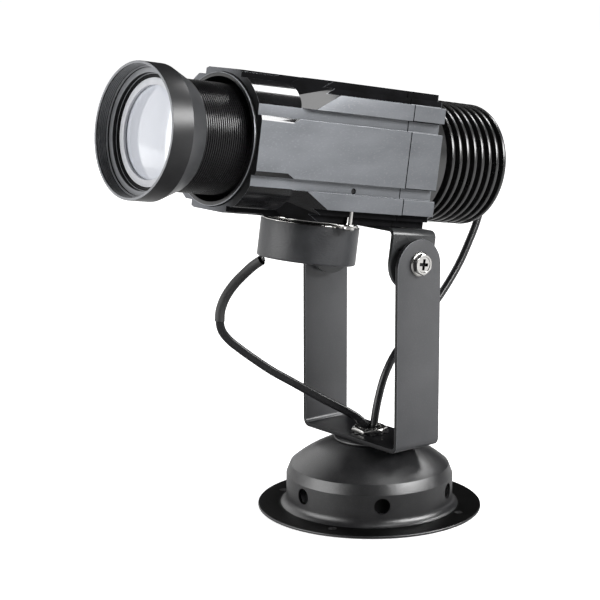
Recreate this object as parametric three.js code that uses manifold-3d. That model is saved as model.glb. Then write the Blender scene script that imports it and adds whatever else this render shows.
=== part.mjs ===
// A motorised gobo projector. A square-bodied spotlight head tilts in a sheet-metal yoke, and the
// yoke pans on the threaded stem of a round canopy, which is screwed to a wall, ceiling or bench.
// Sizes are in millimetres and angles in degrees, with +Z up. The origin is the middle of the
// canopy's underside, on the pan axis. The beam leaves towards -Y, and the head is drawn at rest,
// with its nose raised a little. Inside the head, Y runs along the beam and Z is measured from it.

import * as THREE from 'three';
import { mergeVertices } from 'three/addons/utils/BufferGeometryUtils.js';
import Module from 'manifold-3d';

const wasm = await Module();
wasm.setup();

// Gaps and overruns
const clear = 0.3;
const snug = 0.15;
const over = 2;

// Canopy: a spun dome with a screw flange, six vents and a closing dish below
const canopySheet = 1.5;
const flangeRadius = 60;
const flangeHoleRadius = 2.25;
const flangeHoleCircle = 51.1;
const flangeHoleCount = 4;
const flangeHoleTurn = 27.6;
const wallRadius = 44.7;
const footFillet = 4.5;
const wallTop = 18;
const bevelRadius = 42.6;
const bevelTop = 23.4;
const domeRadius = 70;
const crownRadius = 18.6;
const crownHeight = 36.9;
const ventRadius = 4.25;
const ventHeight = 12.3;
const ventCount = 6;
const ventTurn = 58.1;
const dishSheet = 1.2;
const dishRim = 7.7;
const supplyHoleRadius = 7;
const supplyHoleX = -28;

// LED driver on the closing dish
const driverLength = 50;
const driverWidth = 28;
const driverHeight = 14;
const driverCorner = 2;
const driverX = 9;
const driverLugThick = 2;
const driverLugWidth = 9;
const driverLugReach = 7;
const driverScrewRadius = 1.5;
const driverScrewHead = 2.8;
const driverScrewHeadHeight = 1.6;

// Threaded stem with its nuts and washers
const stemRadius = 6.25;
const stemBore = 5.3;
const stemBottom = 24;
const bossRadius = 18.9;
const bossThick = 1.1;
const nutAcrossFlats = 17;
const topNutThick = 2.2;
const lowerNutThick = 4;
const washerThick = 0.4;
const washerRoot = 9.1;
const washerTip = 10.4;
const washerTeeth = 12;

// Yoke: one strip bent to a U
const yokeWidth = 29.25;
const yokeSheet = 2.06;
const yokeHalfSpan = 38.4;
const yokeBend = 4.4;
const pivotHeight = 137.01;
const armArcDrop = 2.1;

// Pivot screws, spacers and nuts
const pivotShankRadius = 3;
const pivotFlangeRadius = 6.4;
const pivotFlangeThick = 1.1;
const pivotHexAcross = 10;
const pivotHeadProud = 3.65;
const pivotFaceRadius = 4.9;
const pivotFaceChamfer = 0.7;
const crossWidth = 1.1;
const crossLength = 5.4;
const crossDepth = 1.9;
const spacerRadius = 7;
const pivotNutThick = 4;
const pivotTail = 1.5;

// Ear bracket under the head
const restTilt = 8.76;
const axisRise = 51.72;
const earHalfSpan = 32.5;
const earSheet = 2;
const earBend = 4;
const earWidth = 29.3;
const earScrewX = 24;
const earScrewY = -3.5;
const earScrewRadius = 2;
const earScrewHead = 3.5;
const earScrewHeadHeight = 2.2;
const earScrewDepth = 6;

// Housing: a square bar with raised pads, bored through and split in two
const coreHalf = 31.04;
const padFace = 34.64;
const bandHalf = 14.33;
const grooveOuter = 19.8;
const padEdge = 28;
const boreRadius = 32.9;
const housingFront = -108.5;
const housingSeam = -12.8;
const housingBack = 8.8;
const noseRadius = 36.7;
const rampGrooveY = -75.8;
const rampEdgeY = -61.8;
const rampCornerY = -81.2;
const rampCornerReach = 25.95;

// Sleeves inside the housing
const sleeveRadius = boreRadius - clear;
const sleeveWall = 2.2;
const sleeveBore = sleeveRadius - sleeveWall;
const sleeveProud = 1.5;
const joinWall = 2.6;
const joinBore = sleeveRadius - joinWall;
const joinFront = -31.1;
const grubRadius = 1.2;
const grubHoleRadius = 1.5;
const grubY = -43.6;
const grubZ = -18.1;
const grubSink = 0.6;

// Heat sink with round fins
const sinkCollarRadius = 32.5;
const sinkCollarBack = 15.6;
const sinkSpigot = 6.2;
const finRadius = 32.53;
const finRoot = 20;
const finThick = 2;
const finFirst = 20.65;
const finPitch = 5.35;
const finCount = 8;
const wireChannel = 3.2;
const glandNeck = 2.9;
const glandFlange = 5;
const glandFlangeThick = 1.6;
const glandDepth = 5;
const glandBore = 2;

// Light source
const boardSide = 30;
const boardThick = 1.7;
const emitterRadius = 8;
const emitterThick = 1.3;
const condenserRadius = 26;
const condenserFlat = -6;
const condenserEdge = 2.5;
const condenserSag = 6.5;
const holderRadius = 29.7;
const holderLipRadius = 24;
const holderLip = 1.5;
const holderFront = -12.5;

// Motor under the head
const motorY = -43.3;
const motorRadius = 24.6;
const motorTop = -36.3;
const motorDepth = 18.8;
const coverRadius = 25.4;
const coverWall = 0.5;
const coverTop = -37.3;
const coverBottom = -56.8;
const coverFloor = 1.1;
const coverEdge = 1.2;
const tabPlateTop = -35;
const tabPlateThick = 1;
const tabPlateRadius = 22;
const tabReach = 34;
const tabHalfWidth = 5;
const tabScrewX = 30;
const tabScrewRadius = 1.6;
const tabScrewHead = 2.95;
const tabScrewHeadHeight = 2;
const tabScrewDepth = 7;
const shaftRadius = 2;
const shaftHoleRadius = 7;
const leadHoleX = -14.2;
const leadHoleY = -58.2;
const grommetNeck = 2.2;
const grommetHoleRadius = 2.5;
const grommetFlange = 3.2;
const grommetFlangeThick = 0.8;
const grommetBore = 1.3;

// Pinion and crown gear
const pinionTeeth = 10;
const pinionTip = 4.9;
const pinionRoot = 3.2;
const pinionToothWidth = 0.9;
const gearRatio = 6;
const crownInner = 25.2;
const crownOuter = 29.8;
const crownFlangeThick = 2.4;
const crownToothHeight = 1.4;
const crownToothWidth = 0.9;
const hubBack = -29.6;
const hubBore = 20;
const hubLip = 16;
const hubLipThick = 1.4;
const bearingThick = 4;
const clipThick = 0.8;
const clipRadius = 27.5;

// Gobo disc and its ring
const goboRadius = 19.7;
const goboThick = 0.6;
const goboHoleRadius = 2.2;
const goboHoleCircle = 8.5;
const goboHoleCount = 8;
const goboCentreHole = 3.4;
const goboRingThick = 1.5;
const goboRingBore = 16.5;

// Lens tube, which slides in two guide rings
const guideWall = 2.53;
const barrelRadius = sleeveBore - 2 * clear - guideWall;
const barrelWall = 3.27;
const barrelBore = barrelRadius - barrelWall;
const barrelFront = -147.5;
const barrelBack = -62;
const frontSeatWall = 0.97;
const frontSeatRadius = barrelRadius - frontSeatWall;
const frontSeatDepth = 6;
const rearSeatWall = 2.27;
const rearSeatRadius = barrelRadius - rearSeatWall;
const rearSeatDepth = 9;
const guideThick = 6;
const frontGuideY = -92;
const rearGuideY = -76;
const hoodFlare = 5.66;
const hoodRadius = barrelRadius + hoodFlare;
const hoodFront = -157.2;
const hoodConeFront = -145.5;
const hoodConeBack = -134.6;
const hoodTailWall = 0.48;
const hoodTailRadius = barrelRadius + clear + hoodTailWall;
const hoodLipWall = 1.43;
const hoodLipBore = hoodRadius - hoodLipWall;
const hoodStepY = -151.2;
const hoodStepWall = 2.43;
const hoodStepBore = hoodRadius - hoodStepWall;
const hoodLedgeY = -150;
const hoodLedgeWall = 4.93;
const hoodLedgeBore = hoodRadius - hoodLedgeWall;
const frontLensRadius = frontSeatRadius - clear;
const rearLensRadius = rearSeatRadius - clear;
const frontLensEdge = 2.8;
const frontLensSag = 3;
const lensRingThick = 1.5;
const frontRingWidth = 3.5;
const frontRingBore = frontLensRadius - frontRingWidth;
const rearRingWidth = 2.2;
const rearRingBore = rearLensRadius - rearRingWidth;
const rearLensEdge = 2.5;
const rearLensSag = 3.7;

// Leads: the lamp lead from the heat sink and the sleeved motor lead, both into the stem
const motorLeadRadius = 1.9;
const lampLeadRadius = 2.1;
const leadSleeveRadius = 2.6;
const leadStep = 3.6;
const leadEndRadius = 1.2;
const leadEndRoute = [[-14.9, -58.8, 138.75], [-16.4, -59.6, 138.1], [-18.4, -60.6, 136.8]];
const sleeveRoute = [
  [-16.4, -59.6, 138.1], [-20.6, -61.6, 134.9], [-24.2, -64.6, 130.6],
  [-27.6, -69, 124.8], [-29.6, -73.2, 118.2], [-30.2, -75.9, 111.5], [-30, -76.6, 106.1],
];
const motorLeadRoute = [
  [-29.9, -76.5, 105.1], [-29.5, -75.6, 101], [-28.1, -72.3, 96], [-26, -67.3, 91.2],
  [-23, -60.3, 85.2], [-19.5, -51, 77.9], [-15.8, -40.4, 70.9], [-13.2, -32.6, 65.7],
  [-10.6, -24.8, 60.6], [-7.9, -16.8, 55.7], [-5.2, -9.4, 51], [-3.4, -5, 47.6],
  [-1.9, -2.5, 44.4], [-1.45, -1.8, 40.8], [-1.4, -1.7, 36.5], [-1.4, -1.7, 31], [-1.4, -1.7, 26],
];
const lampLeadRoute = [
  [0, 68.5, 178.75], [0, 72.5, 178], [0.2, 76.6, 175.4], [0.6, 79.2, 171],
  [1.2, 79.8, 165.5], [2, 78.6, 157.5], [2.8, 74.8, 147.9], [3.3, 68.4, 136.8],
  [3.6, 60.1, 124.3], [3.8, 47.6, 110.2], [3.6, 36.5, 99.8], [3.3, 25.4, 90.4],
  [3, 15.4, 81.6], [2.5, 8.4, 70.4], [2, 4.6, 59], [1.6, 2.7, 50],
  [1.4, 1.9, 43.4], [1.4, 1.7, 37], [1.4, 1.7, 31], [1.4, 1.7, 26],
];

// Facets round a circle
const fineFacets = 36;
const smallFacets = 12;
const ventFacets = 18;
const arcSteps = 4;

// Levels and places that follow from the sizes above
const yokeUnder = crownHeight + snug + bossThick + snug;
const yokeTop = yokeUnder + yokeSheet;
const washerBottom = yokeTop + snug;
const topNutBottom = washerBottom + washerThick + snug;
const topNutTop = topNutBottom + topNutThick;
const earTop = -padFace - clear;
const gearFace = motorY + pinionTip + clear;
const bearingFront = gearFace + crownFlangeThick + clear;
const bearingBack = bearingFront + bearingThick;
const sinkFront = housingBack + clear - sinkSpigot;
const sinkEnd = finFirst + finPitch * (finCount - 1) + finThick / 2;
const frontLensFlat = barrelFront + frontSeatDepth - clear;
const rearLensFlat = barrelBack - rearSeatDepth + clear;

// Finishes
const finish = (color, roughness, metalness) => ({ color, roughness, metalness });
const blackPaint = finish(0x1c1e20, 0.5, 0.2);
const greyPaint = finish(0x5d6064, 0.45, 0.3);
const anodised = finish(0x7d8085, 0.4, 0.6);
const blackAnodised = finish(0x141414, 0.35, 0.6);
const nickel = finish(0xc9c9c6, 0.25, 1);
const steel = finish(0x9a9c9e, 0.35, 1);
const blackPlastic = finish(0x18181a, 0.5, 0);
const whitePlastic = finish(0xe4e4e0, 0.5, 0);
const glass = finish(0xdfe8ee, 0.05, 0);
const brass = finish(0xb8954c, 0.35, 1);
const lampYellow = finish(0xe6c84a, 0.5, 0);

// Geometry helpers
const radians = THREE.MathUtils.degToRad;
const point = (x, y) => new THREE.Vector2(x, y);

function arc(centreX, centreY, radius, fromDegrees, toDegrees, steps) {
  return Array.from({ length: steps + 1 }, (_, i) => {
    const angle = radians(fromDegrees + (toDegrees - fromDegrees) * i / steps);
    return point(centreX + radius * Math.cos(angle), centreY + radius * Math.sin(angle));
  });
}

// A closed solid: vertices merged, empty triangles dropped and faces turned outwards
function closed(geometry) {
  const bare = geometry.index ? geometry.toNonIndexed() : geometry.clone();
  for (const name of Object.keys(bare.attributes)) {
    if (name !== 'position') bare.deleteAttribute(name);
  }
  const merged = mergeVertices(bare, 1e-5);
  const place = merged.attributes.position;
  const corners = [];
  const a = new THREE.Vector3();
  const b = new THREE.Vector3();
  const c = new THREE.Vector3();
  let volume = 0;
  for (let i = 0; i < merged.index.count; i += 3) {
    const [p, q, r] = [0, 1, 2].map((k) => merged.index.getX(i + k));
    if (p === q || q === r || r === p) continue;
    a.fromBufferAttribute(place, p);
    b.fromBufferAttribute(place, q);
    c.fromBufferAttribute(place, r);
    volume += a.dot(b.cross(c));
    corners.push(p, q, r);
  }
  if (volume < 0) corners.reverse();
  merged.setIndex(corners);
  return merged;
}

function toSolid(geometry) {
  const shell = closed(geometry);
  return new wasm.Manifold(new wasm.Mesh({
    numProp: 3,
    vertProperties: new Float32Array(shell.attributes.position.array),
    triVerts: new Uint32Array(shell.index.array),
  }));
}

function fromSolid(solid) {
  const mesh = solid.getMesh();
  const geometry = new THREE.BufferGeometry();
  geometry.setAttribute('position', new THREE.BufferAttribute(new Float32Array(mesh.vertProperties), 3));
  geometry.setIndex(new THREE.BufferAttribute(new Uint32Array(mesh.triVerts), 1));
  return geometry;
}

const cut = (geometry, cutters) => fromSolid(
  cutters.reduce((solid, cutter) => solid.subtract(toSolid(cutter)), toSolid(geometry)),
);
const join = (geometries) => fromSolid(
  geometries.map(toSolid).reduce((solid, other) => solid.add(other)),
);
const common = (geometry, other) => fromSolid(toSolid(geometry).intersect(toSolid(other)));

// Turned solids, from a profile of radius and height that closes on itself
const ringFrom = (profile, facets) => new THREE.LatheGeometry([...profile, profile[0]], facets);
const aboutY = (profile, facets = fineFacets) => ringFrom(profile, facets);
const aboutZ = (profile, facets = fineFacets) => ringFrom(profile, facets).rotateX(Math.PI / 2);
const aboutX = (profile, facets = smallFacets) => ringFrom(profile, facets).rotateZ(-Math.PI / 2);

const tubeProfile = (bore, radius, from, to) => [
  point(bore, from), point(radius, from), point(radius, to), point(bore, to),
];
const rodProfile = (radius, from, to) => tubeProfile(0, radius, from, to);

// A round hole's facets lie outside its circle, so that a round shank of that size passes
const outside = (radius, facets) => radius / Math.cos(Math.PI / facets);
const drill = (radius, from, to, facets = smallFacets) => rodProfile(outside(radius, facets), from, to);

// Extruded solids: the outline lies across the named axis
function prism(shape, length) {
  return new THREE.ExtrudeGeometry(shape, { depth: length, bevelEnabled: false, curveSegments: arcSteps });
}
const alongZ = (shape, from, to) => prism(shape, to - from).translate(0, 0, from);
const alongY = (shape, from, to) => prism(shape, to - from).rotateX(Math.PI / 2).translate(0, to, 0);
const alongX = (shape, from, to) => prism(shape, to - from)
  .rotateX(Math.PI / 2).rotateZ(Math.PI / 2).translate(from, 0, 0);

function polygon(points, holes = []) {
  const shape = new THREE.Shape(points);
  for (const hole of holes) shape.holes.push(new THREE.Path(hole));
  return shape;
}
const ringPoints = (radius, count, turn = 0) => Array.from({ length: count }, (_, i) => {
  const angle = 2 * Math.PI * i / count + radians(turn);
  return point(radius * Math.cos(angle), radius * Math.sin(angle));
});
const hexagon = (acrossFlats, turn = 0) => ringPoints(acrossFlats / Math.sqrt(3), 6, turn);
const holePoints = (radius) => ringPoints(outside(radius, smallFacets), smallFacets);
const rectangle = (width, height) => [
  point(-width / 2, -height / 2), point(width / 2, -height / 2),
  point(width / 2, height / 2), point(-width / 2, height / 2),
];

// A strip bent to a U across Y: outer face of its web at webZ, arms reaching to endZ
function bentStrip(halfSpan, sheet, bend, webZ, endZ) {
  const way = Math.sign(endZ - webZ);
  const corner = (radius, side, from, to) => arc(0, 0, radius, from, to, arcSteps).map(
    (p) => point(side * (halfSpan - bend + p.x), webZ + way * (bend + p.y)),
  );
  return polygon([
    point(halfSpan, endZ),
    ...corner(bend, 1, 0, -90),
    ...corner(bend, -1, -90, 0),
    point(-halfSpan, endZ),
    point(-halfSpan + sheet, endZ),
    ...corner(bend - sheet, -1, 0, -90),
    ...corner(bend - sheet, 1, -90, 0),
    point(halfSpan - sheet, endZ),
  ]);
}

// The strip seen from its side: straight from footZ, round at its far end
function roundEndedStrip(width, footZ, arcZ) {
  const way = Math.sign(arcZ - footZ);
  return polygon([
    point(-width / 2, footZ),
    point(width / 2, footZ),
    ...arc(0, 0, width / 2, 0, 180, 4 * arcSteps).map((p) => point(p.x, arcZ + way * p.y)),
  ]);
}

// A screw or bolt about Z: head above the seat, shank below
const panScrew = (headRadius, headHeight, shankRadius, depth) => [
  point(0, -depth), point(shankRadius, -depth), point(shankRadius, 0),
  point(headRadius, 0), point(headRadius, headHeight / 2),
  point(headRadius * Math.SQRT1_2, headHeight), point(0, headHeight),
];

// A lens about Y: flat face at flatY, edge thick, then a dome towards way
function lens(radius, flatY, edge, sag, way) {
  const curve = (radius * radius + sag * sag) / (2 * sag);
  const steps = arcSteps;
  const dome = Array.from({ length: steps + 1 }, (_, i) => {
    const r = radius * (1 - i / steps);
    const rise = Math.sqrt(curve * curve - r * r) - (curve - sag);
    return point(r, flatY + way * (edge + rise));
  });
  return aboutY([point(0, flatY), point(radius, flatY), ...dome]);
}

// Groups: the base stands still, the yoke stands on it, and the head hangs in the yoke's arms
const projector = new THREE.Group();
const base = new THREE.Group();
const yoke = new THREE.Group();
const pivot = new THREE.Group();
const head = new THREE.Group();
projector.add(base, yoke, pivot);
pivot.position.set(0, 0, pivotHeight);
pivot.rotation.x = -radians(restTilt);
head.position.set(0, 0, axisRise);
pivot.add(head);

function piece(group, name, geometry, look) {
  const mesh = new THREE.Mesh(closed(geometry), new THREE.MeshStandardMaterial(look));
  mesh.name = name;
  group.add(mesh);
  return mesh;
}

// Canopy shell
function canopyShell() {
  const foot = wallRadius + footFillet;
  const footZ = canopySheet + footFillet;
  const chord = point(crownRadius - bevelRadius, crownHeight - bevelTop);
  const middle = point((crownRadius + bevelRadius) / 2, (crownHeight + bevelTop) / 2);
  const drop = Math.sqrt(domeRadius ** 2 - chord.lengthSq() / 4) / chord.length();
  const centre = point(middle.x - chord.y * drop, middle.y + chord.x * drop);
  const toDegrees = (x, y) => THREE.MathUtils.radToDeg(Math.atan2(y - centre.y, x - centre.x));
  const low = toDegrees(bevelRadius, bevelTop);
  const high = toDegrees(crownRadius, crownHeight);
  const hole = stemRadius + clear;
  const profile = [
    point(flangeRadius, 0),
    point(flangeRadius, canopySheet),
    ...arc(foot, footZ, footFillet, 270, 180, arcSteps),
    point(wallRadius, wallTop),
    ...arc(centre.x, centre.y, domeRadius, low, high, arcSteps),
    point(hole, crownHeight),
    point(hole, crownHeight - canopySheet),
    ...arc(centre.x, centre.y, domeRadius - canopySheet, high, low, arcSteps),
    point(wallRadius - canopySheet, wallTop),
    ...arc(foot, footZ, footFillet + canopySheet, 180, 270, arcSteps),
  ];
  const cutters = [];
  for (let i = 0; i < flangeHoleCount; i += 1) {
    const turn = radians(flangeHoleTurn + 360 * i / flangeHoleCount);
    cutters.push(aboutZ(drill(flangeHoleRadius, -over, canopySheet + over), smallFacets)
      .translate(flangeHoleCircle * Math.sin(turn), -flangeHoleCircle * Math.cos(turn), 0));
  }
  for (let i = 0; i < ventCount; i += 1) {
    const turn = radians(ventTurn + 360 * i / ventCount - 90);
    cutters.push(aboutX(drill(ventRadius, wallRadius - canopySheet - over, wallRadius + over, ventFacets), ventFacets)
      .rotateZ(turn).translate(0, 0, ventHeight));
  }
  return cut(aboutZ(profile), cutters);
}
piece(base, 'canopy_shell', canopyShell(), blackPaint);

// Closing dish, pressed in from below
const driverScrewY = driverWidth / 2 + driverLugReach / 2;
const dishRadius = wallRadius - canopySheet - clear;
const closingDish = aboutZ([
  point(0, 0), point(dishRadius, 0), point(dishRadius, dishRim),
  point(dishRadius - dishSheet, dishRim), point(dishRadius - dishSheet, dishSheet), point(0, dishSheet),
]);
const dishHole = (radius, x, y) => aboutZ(drill(radius, -over, dishSheet + over), smallFacets)
  .translate(x, y, 0);
piece(base, 'closing_dish', cut(closingDish, [
  dishHole(supplyHoleRadius, supplyHoleX, 0),
  dishHole(driverScrewRadius + clear, driverX, driverScrewY),
  dishHole(driverScrewRadius + clear, driverX, -driverScrewY),
]), steel);

// LED driver and its two screws
const driverBottom = dishSheet + snug;
function driverBody() {
  const half = point(driverLength / 2 - driverCorner, driverWidth / 2 - driverCorner);
  const outline = [
    ...arc(half.x, half.y, driverCorner, 0, 90, 2),
    ...arc(-half.x, half.y, driverCorner, 90, 180, 2),
    ...arc(-half.x, -half.y, driverCorner, 180, 270, 2),
    ...arc(half.x, -half.y, driverCorner, 270, 360, 2),
  ];
  const box = alongZ(polygon(outline), driverBottom, driverBottom + driverHeight);
  const lugs = alongZ(
    polygon(rectangle(driverLugWidth, driverWidth + 2 * driverLugReach)),
    driverBottom,
    driverBottom + driverLugThick,
  );
  const holes = [1, -1].map((side) => aboutZ(
    drill(driverScrewRadius + clear, -over, driverBottom + driverLugThick + over),
    smallFacets,
  ).translate(0, side * driverScrewY, 0));
  return cut(join([box, lugs]), holes).translate(driverX, 0, 0);
}
piece(base, 'led_driver', driverBody(), blackPlastic);
const driverScrewSeat = driverBottom + driverLugThick + snug;
for (const [name, side] of [['driver_screw_front', -1], ['driver_screw_back', 1]]) {
  const profile = panScrew(driverScrewHead, driverScrewHeadHeight, driverScrewRadius, driverScrewSeat - snug);
  piece(base, name, aboutZ(profile, smallFacets)
    .translate(driverX, side * driverScrewY, driverScrewSeat), steel);
}

// Stem, nuts, washer and the disc that the yoke turns on
piece(base, 'threaded_stem', aboutZ(tubeProfile(stemBore, stemRadius, stemBottom, topNutTop)), nickel);
const lowerNutTop = crownHeight - canopySheet - clear;
const nutBore = holePoints(stemRadius + snug);
const hexNut = polygon(hexagon(nutAcrossFlats), [nutBore]);
piece(base, 'stem_lower_nut', alongZ(hexNut, lowerNutTop - lowerNutThick, lowerNutTop), steel);
piece(base, 'stem_top_nut', alongZ(hexNut, topNutBottom, topNutTop), nickel);
piece(base, 'pan_friction_disc', aboutZ(
  tubeProfile(stemRadius + clear, bossRadius, crownHeight + snug, crownHeight + snug + bossThick),
), blackPaint);
function toothedWasher() {
  const points = Array.from({ length: 2 * washerTeeth }, (_, i) => {
    const angle = Math.PI * i / washerTeeth;
    const radius = i % 2 ? washerRoot : washerTip;
    return point(radius * Math.cos(angle), radius * Math.sin(angle));
  });
  return alongZ(polygon(points, [nutBore]), washerBottom, washerBottom + washerThick);
}
piece(base, 'stem_lock_washer', toothedWasher(), blackPlastic);

// Yoke bracket
function yokeBracket() {
  const armTop = pivotHeight - armArcDrop;
  const strip = alongY(
    bentStrip(yokeHalfSpan, yokeSheet, yokeBend, yokeUnder, armTop + yokeWidth),
    -yokeWidth / 2,
    yokeWidth / 2,
  );
  const side = alongX(
    roundEndedStrip(yokeWidth + snug, yokeUnder - over, armTop),
    -yokeHalfSpan - over,
    yokeHalfSpan + over,
  );
  const pivotHole = aboutX(drill(pivotShankRadius + clear, -yokeHalfSpan - over, yokeHalfSpan + over))
    .translate(0, 0, pivotHeight);
  const stemHole = aboutZ(rodProfile(stemRadius + clear, yokeUnder - over, yokeTop + over));
  return cut(common(strip, side), [pivotHole, stemHole]);
}
piece(yoke, 'yoke_bracket', yokeBracket(), greyPaint);

// Pivot screws, spacers and nuts, one set on each side
const earInner = earHalfSpan - earSheet;
const pivotSeat = yokeHalfSpan + snug;
const pivotFace = yokeHalfSpan + pivotHeadProud;
function pivotScrew() {
  const hexRadius = pivotHexAcross / Math.sqrt(3);
  const tail = earInner - clear - pivotNutThick - pivotTail;
  const shank = aboutX(rodProfile(pivotShankRadius, tail, pivotSeat + pivotFlangeThick / 2));
  const flange = aboutX([
    point(0, pivotSeat), point(pivotFlangeRadius, pivotSeat),
    point(pivotFlangeRadius, pivotSeat + pivotFlangeThick / 2),
    point(hexRadius, pivotSeat + pivotFlangeThick), point(0, pivotSeat + pivotFlangeThick),
  ], 2 * smallFacets);
  const hex = alongX(polygon(hexagon(pivotHexAcross)), pivotSeat + pivotFlangeThick / 2, pivotFace);
  const envelope = aboutX([
    point(0, pivotSeat), point(hexRadius + pivotFaceChamfer, pivotSeat),
    point(hexRadius + pivotFaceChamfer, pivotFace - pivotFaceChamfer),
    point(pivotFaceRadius, pivotFace), point(0, pivotFace),
  ], 2 * smallFacets);
  const slot = (turn) => alongX(
    polygon(rectangle(crossLength, crossWidth)),
    pivotFace - crossDepth,
    pivotFace + over,
  ).rotateX(radians(turn));
  return cut(join([shank, flange, common(hex, envelope)]), [slot(0), slot(90)]);
}
const pivotSpacer = aboutX(
  tubeProfile(pivotShankRadius + clear, spacerRadius, earHalfSpan + clear, yokeHalfSpan - yokeSheet - clear),
  2 * smallFacets,
);
const pivotNut = alongX(
  polygon(hexagon(pivotHexAcross), [holePoints(pivotShankRadius + snug)]),
  earInner - clear - pivotNutThick,
  earInner - clear,
);
for (const [side, turn] of [['near', 0], ['far', 180]]) {
  const place = (geometry) => geometry.clone().rotateZ(radians(turn));
  piece(pivot, `pivot_screw_${side}`, place(pivotScrew()), nickel);
  piece(pivot, `pivot_spacer_${side}`, place(pivotSpacer), blackPlastic);
  piece(pivot, `pivot_nut_${side}`, place(pivotNut), nickel);
}

// Ear bracket, hung under the housing on two screws
const earUnder = earTop - earSheet;
const earScrewHole = (side) => aboutZ(
  drill(earScrewRadius + clear, earUnder - over, earTop + over),
  smallFacets,
).translate(side * earScrewX, earScrewY, 0);
function earBracket() {
  const strip = alongY(
    bentStrip(earHalfSpan, earSheet, earBend, earTop, -axisRise - earWidth),
    -earWidth / 2,
    earWidth / 2,
  );
  const side = alongX(
    roundEndedStrip(earWidth + snug, earTop + over, -axisRise),
    -earHalfSpan - over,
    earHalfSpan + over,
  );
  const pivotHole = aboutX(drill(pivotShankRadius + clear, -earHalfSpan - over, earHalfSpan + over))
    .translate(0, 0, -axisRise);
  return cut(common(strip, side), [pivotHole, earScrewHole(1), earScrewHole(-1)]);
}
piece(head, 'ear_bracket', earBracket(), blackPaint);
const earScrewProfile = panScrew(
  earScrewHead,
  earScrewHeadHeight,
  earScrewRadius,
  earSheet + 2 * snug + earScrewDepth,
);
for (const [name, side] of [['ear_screw_near', 1], ['ear_screw_far', -1]]) {
  piece(head, name, aboutZ(earScrewProfile, smallFacets).rotateX(Math.PI)
    .translate(side * earScrewX, earScrewY, earUnder - snug), nickel);
}

// Housing section: the same four sides, each with a middle band and two flange pads
function housingSection() {
  const side = [
    point(coreHalf, -coreHalf), point(coreHalf, -padEdge),
    point(padFace, -padEdge), point(padFace, -grooveOuter),
    point(coreHalf, -grooveOuter), point(coreHalf, -bandHalf),
    point(padFace, -bandHalf), point(padFace, bandHalf),
    point(coreHalf, bandHalf), point(coreHalf, grooveOuter),
    point(padFace, grooveOuter), point(padFace, padEdge),
    point(coreHalf, padEdge),
  ];
  const outline = [0, 1, 2, 3].flatMap((quarter) => side.map(
    (p) => p.clone().rotateAround(point(0, 0), quarter * Math.PI / 2),
  ));
  return polygon(outline, [ringPoints(boreRadius, fineFacets)]);
}

// The ramps behind the milled nose, as one pyramid that widens backwards
function rampPyramid() {
  const plane = new THREE.Plane().setFromCoplanarPoints(
    new THREE.Vector3(padFace, rampGrooveY, grooveOuter),
    new THREE.Vector3(padFace, rampEdgeY, padEdge),
    new THREE.Vector3(rampCornerReach, rampCornerY, rampCornerReach),
  );
  const { normal, constant } = plane;
  const section = (y) => {
    const rest = -constant - normal.y * y;
    const axisReach = rest / normal.x;
    const cornerReach = rest / (normal.x + normal.z);
    return [0, 1, 2, 3].flatMap((quarter) => [point(axisReach, 0), point(cornerReach, cornerReach)].map(
      (p) => p.rotateAround(point(0, 0), quarter * Math.PI / 2),
    ));
  };
  const ends = [housingFront - over, housingBack + over];
  const rows = ends.map((y) => section(y).map((p) => [p.x, y, p.y]));
  const count = rows[0].length;
  const triangles = [];
  for (let i = 0; i < count; i += 1) {
    const next = (i + 1) % count;
    triangles.push(rows[0][i], rows[0][next], rows[1][i]);
    triangles.push(rows[0][next], rows[1][next], rows[1][i]);
    triangles.push([0, ends[0], 0], rows[0][next], rows[0][i]);
    triangles.push([0, ends[1], 0], rows[1][i], rows[1][next]);
  }
  const geometry = new THREE.BufferGeometry();
  geometry.setAttribute('position', new THREE.Float32BufferAttribute(triangles.flat(), 3));
  return geometry;
}
const shaftHole = aboutZ(rodProfile(shaftHoleRadius, -padFace - over, -crownInner), ventFacets)
  .translate(0, motorY, 0);
const grubHole = aboutX(drill(grubHoleRadius, 0, padFace + over))
  .translate(0, grubY, grubZ);
const tabScrewHole = (side) => aboutZ(
  drill(tabScrewRadius + clear, tabPlateTop - tabPlateThick - over, tabPlateTop + tabScrewDepth + over),
  smallFacets,
).translate(side * tabScrewX, motorY, 0);
const earThreadHole = (side) => aboutZ(
  drill(earScrewRadius + snug, -padFace - over, earTop + earScrewDepth + over),
  smallFacets,
).translate(side * earScrewX, earScrewY, 0);
function frontHousing() {
  const bar = alongY(housingSection(), housingFront, housingSeam - clear / 2);
  const nose = aboutY(rodProfile(noseRadius, housingFront - over, housingSeam));
  const kept = join([nose, rampPyramid()]);
  return cut(common(bar, kept), [shaftHole, grubHole, tabScrewHole(1), tabScrewHole(-1)]);
}
piece(head, 'front_housing', frontHousing(), anodised);
piece(head, 'rear_housing', cut(
  alongY(housingSection(), housingSeam + clear / 2, housingBack),
  [earThreadHole(1), earThreadHole(-1)],
), anodised);

// Sleeves: the long one carries the lens guides, the short one joins the two housings
const sleeveBack = bearingFront - clear;
piece(head, 'lens_sleeve', cut(
  aboutY(tubeProfile(sleeveBore, sleeveRadius, housingFront - sleeveProud, sleeveBack)),
  [shaftHole],
), blackAnodised);
piece(head, 'joining_sleeve', aboutY(
  tubeProfile(joinBore, sleeveRadius, joinFront, sinkFront - clear),
), blackAnodised);
const grubTail = Math.sqrt(sleeveRadius ** 2 - (Math.abs(grubZ) - grubRadius) ** 2) + clear;
piece(head, 'sleeve_grub_screw', aboutX(rodProfile(grubRadius, grubTail, coreHalf - grubSink), smallFacets)
  .translate(0, grubY, grubZ), steel);
const guide = (from) => aboutY(
  tubeProfile(barrelRadius + clear, sleeveBore - clear, from, from + guideThick),
);
piece(head, 'front_lens_guide', guide(frontGuideY), blackPlastic);
piece(head, 'rear_lens_guide', guide(rearGuideY), blackPlastic);

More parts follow.
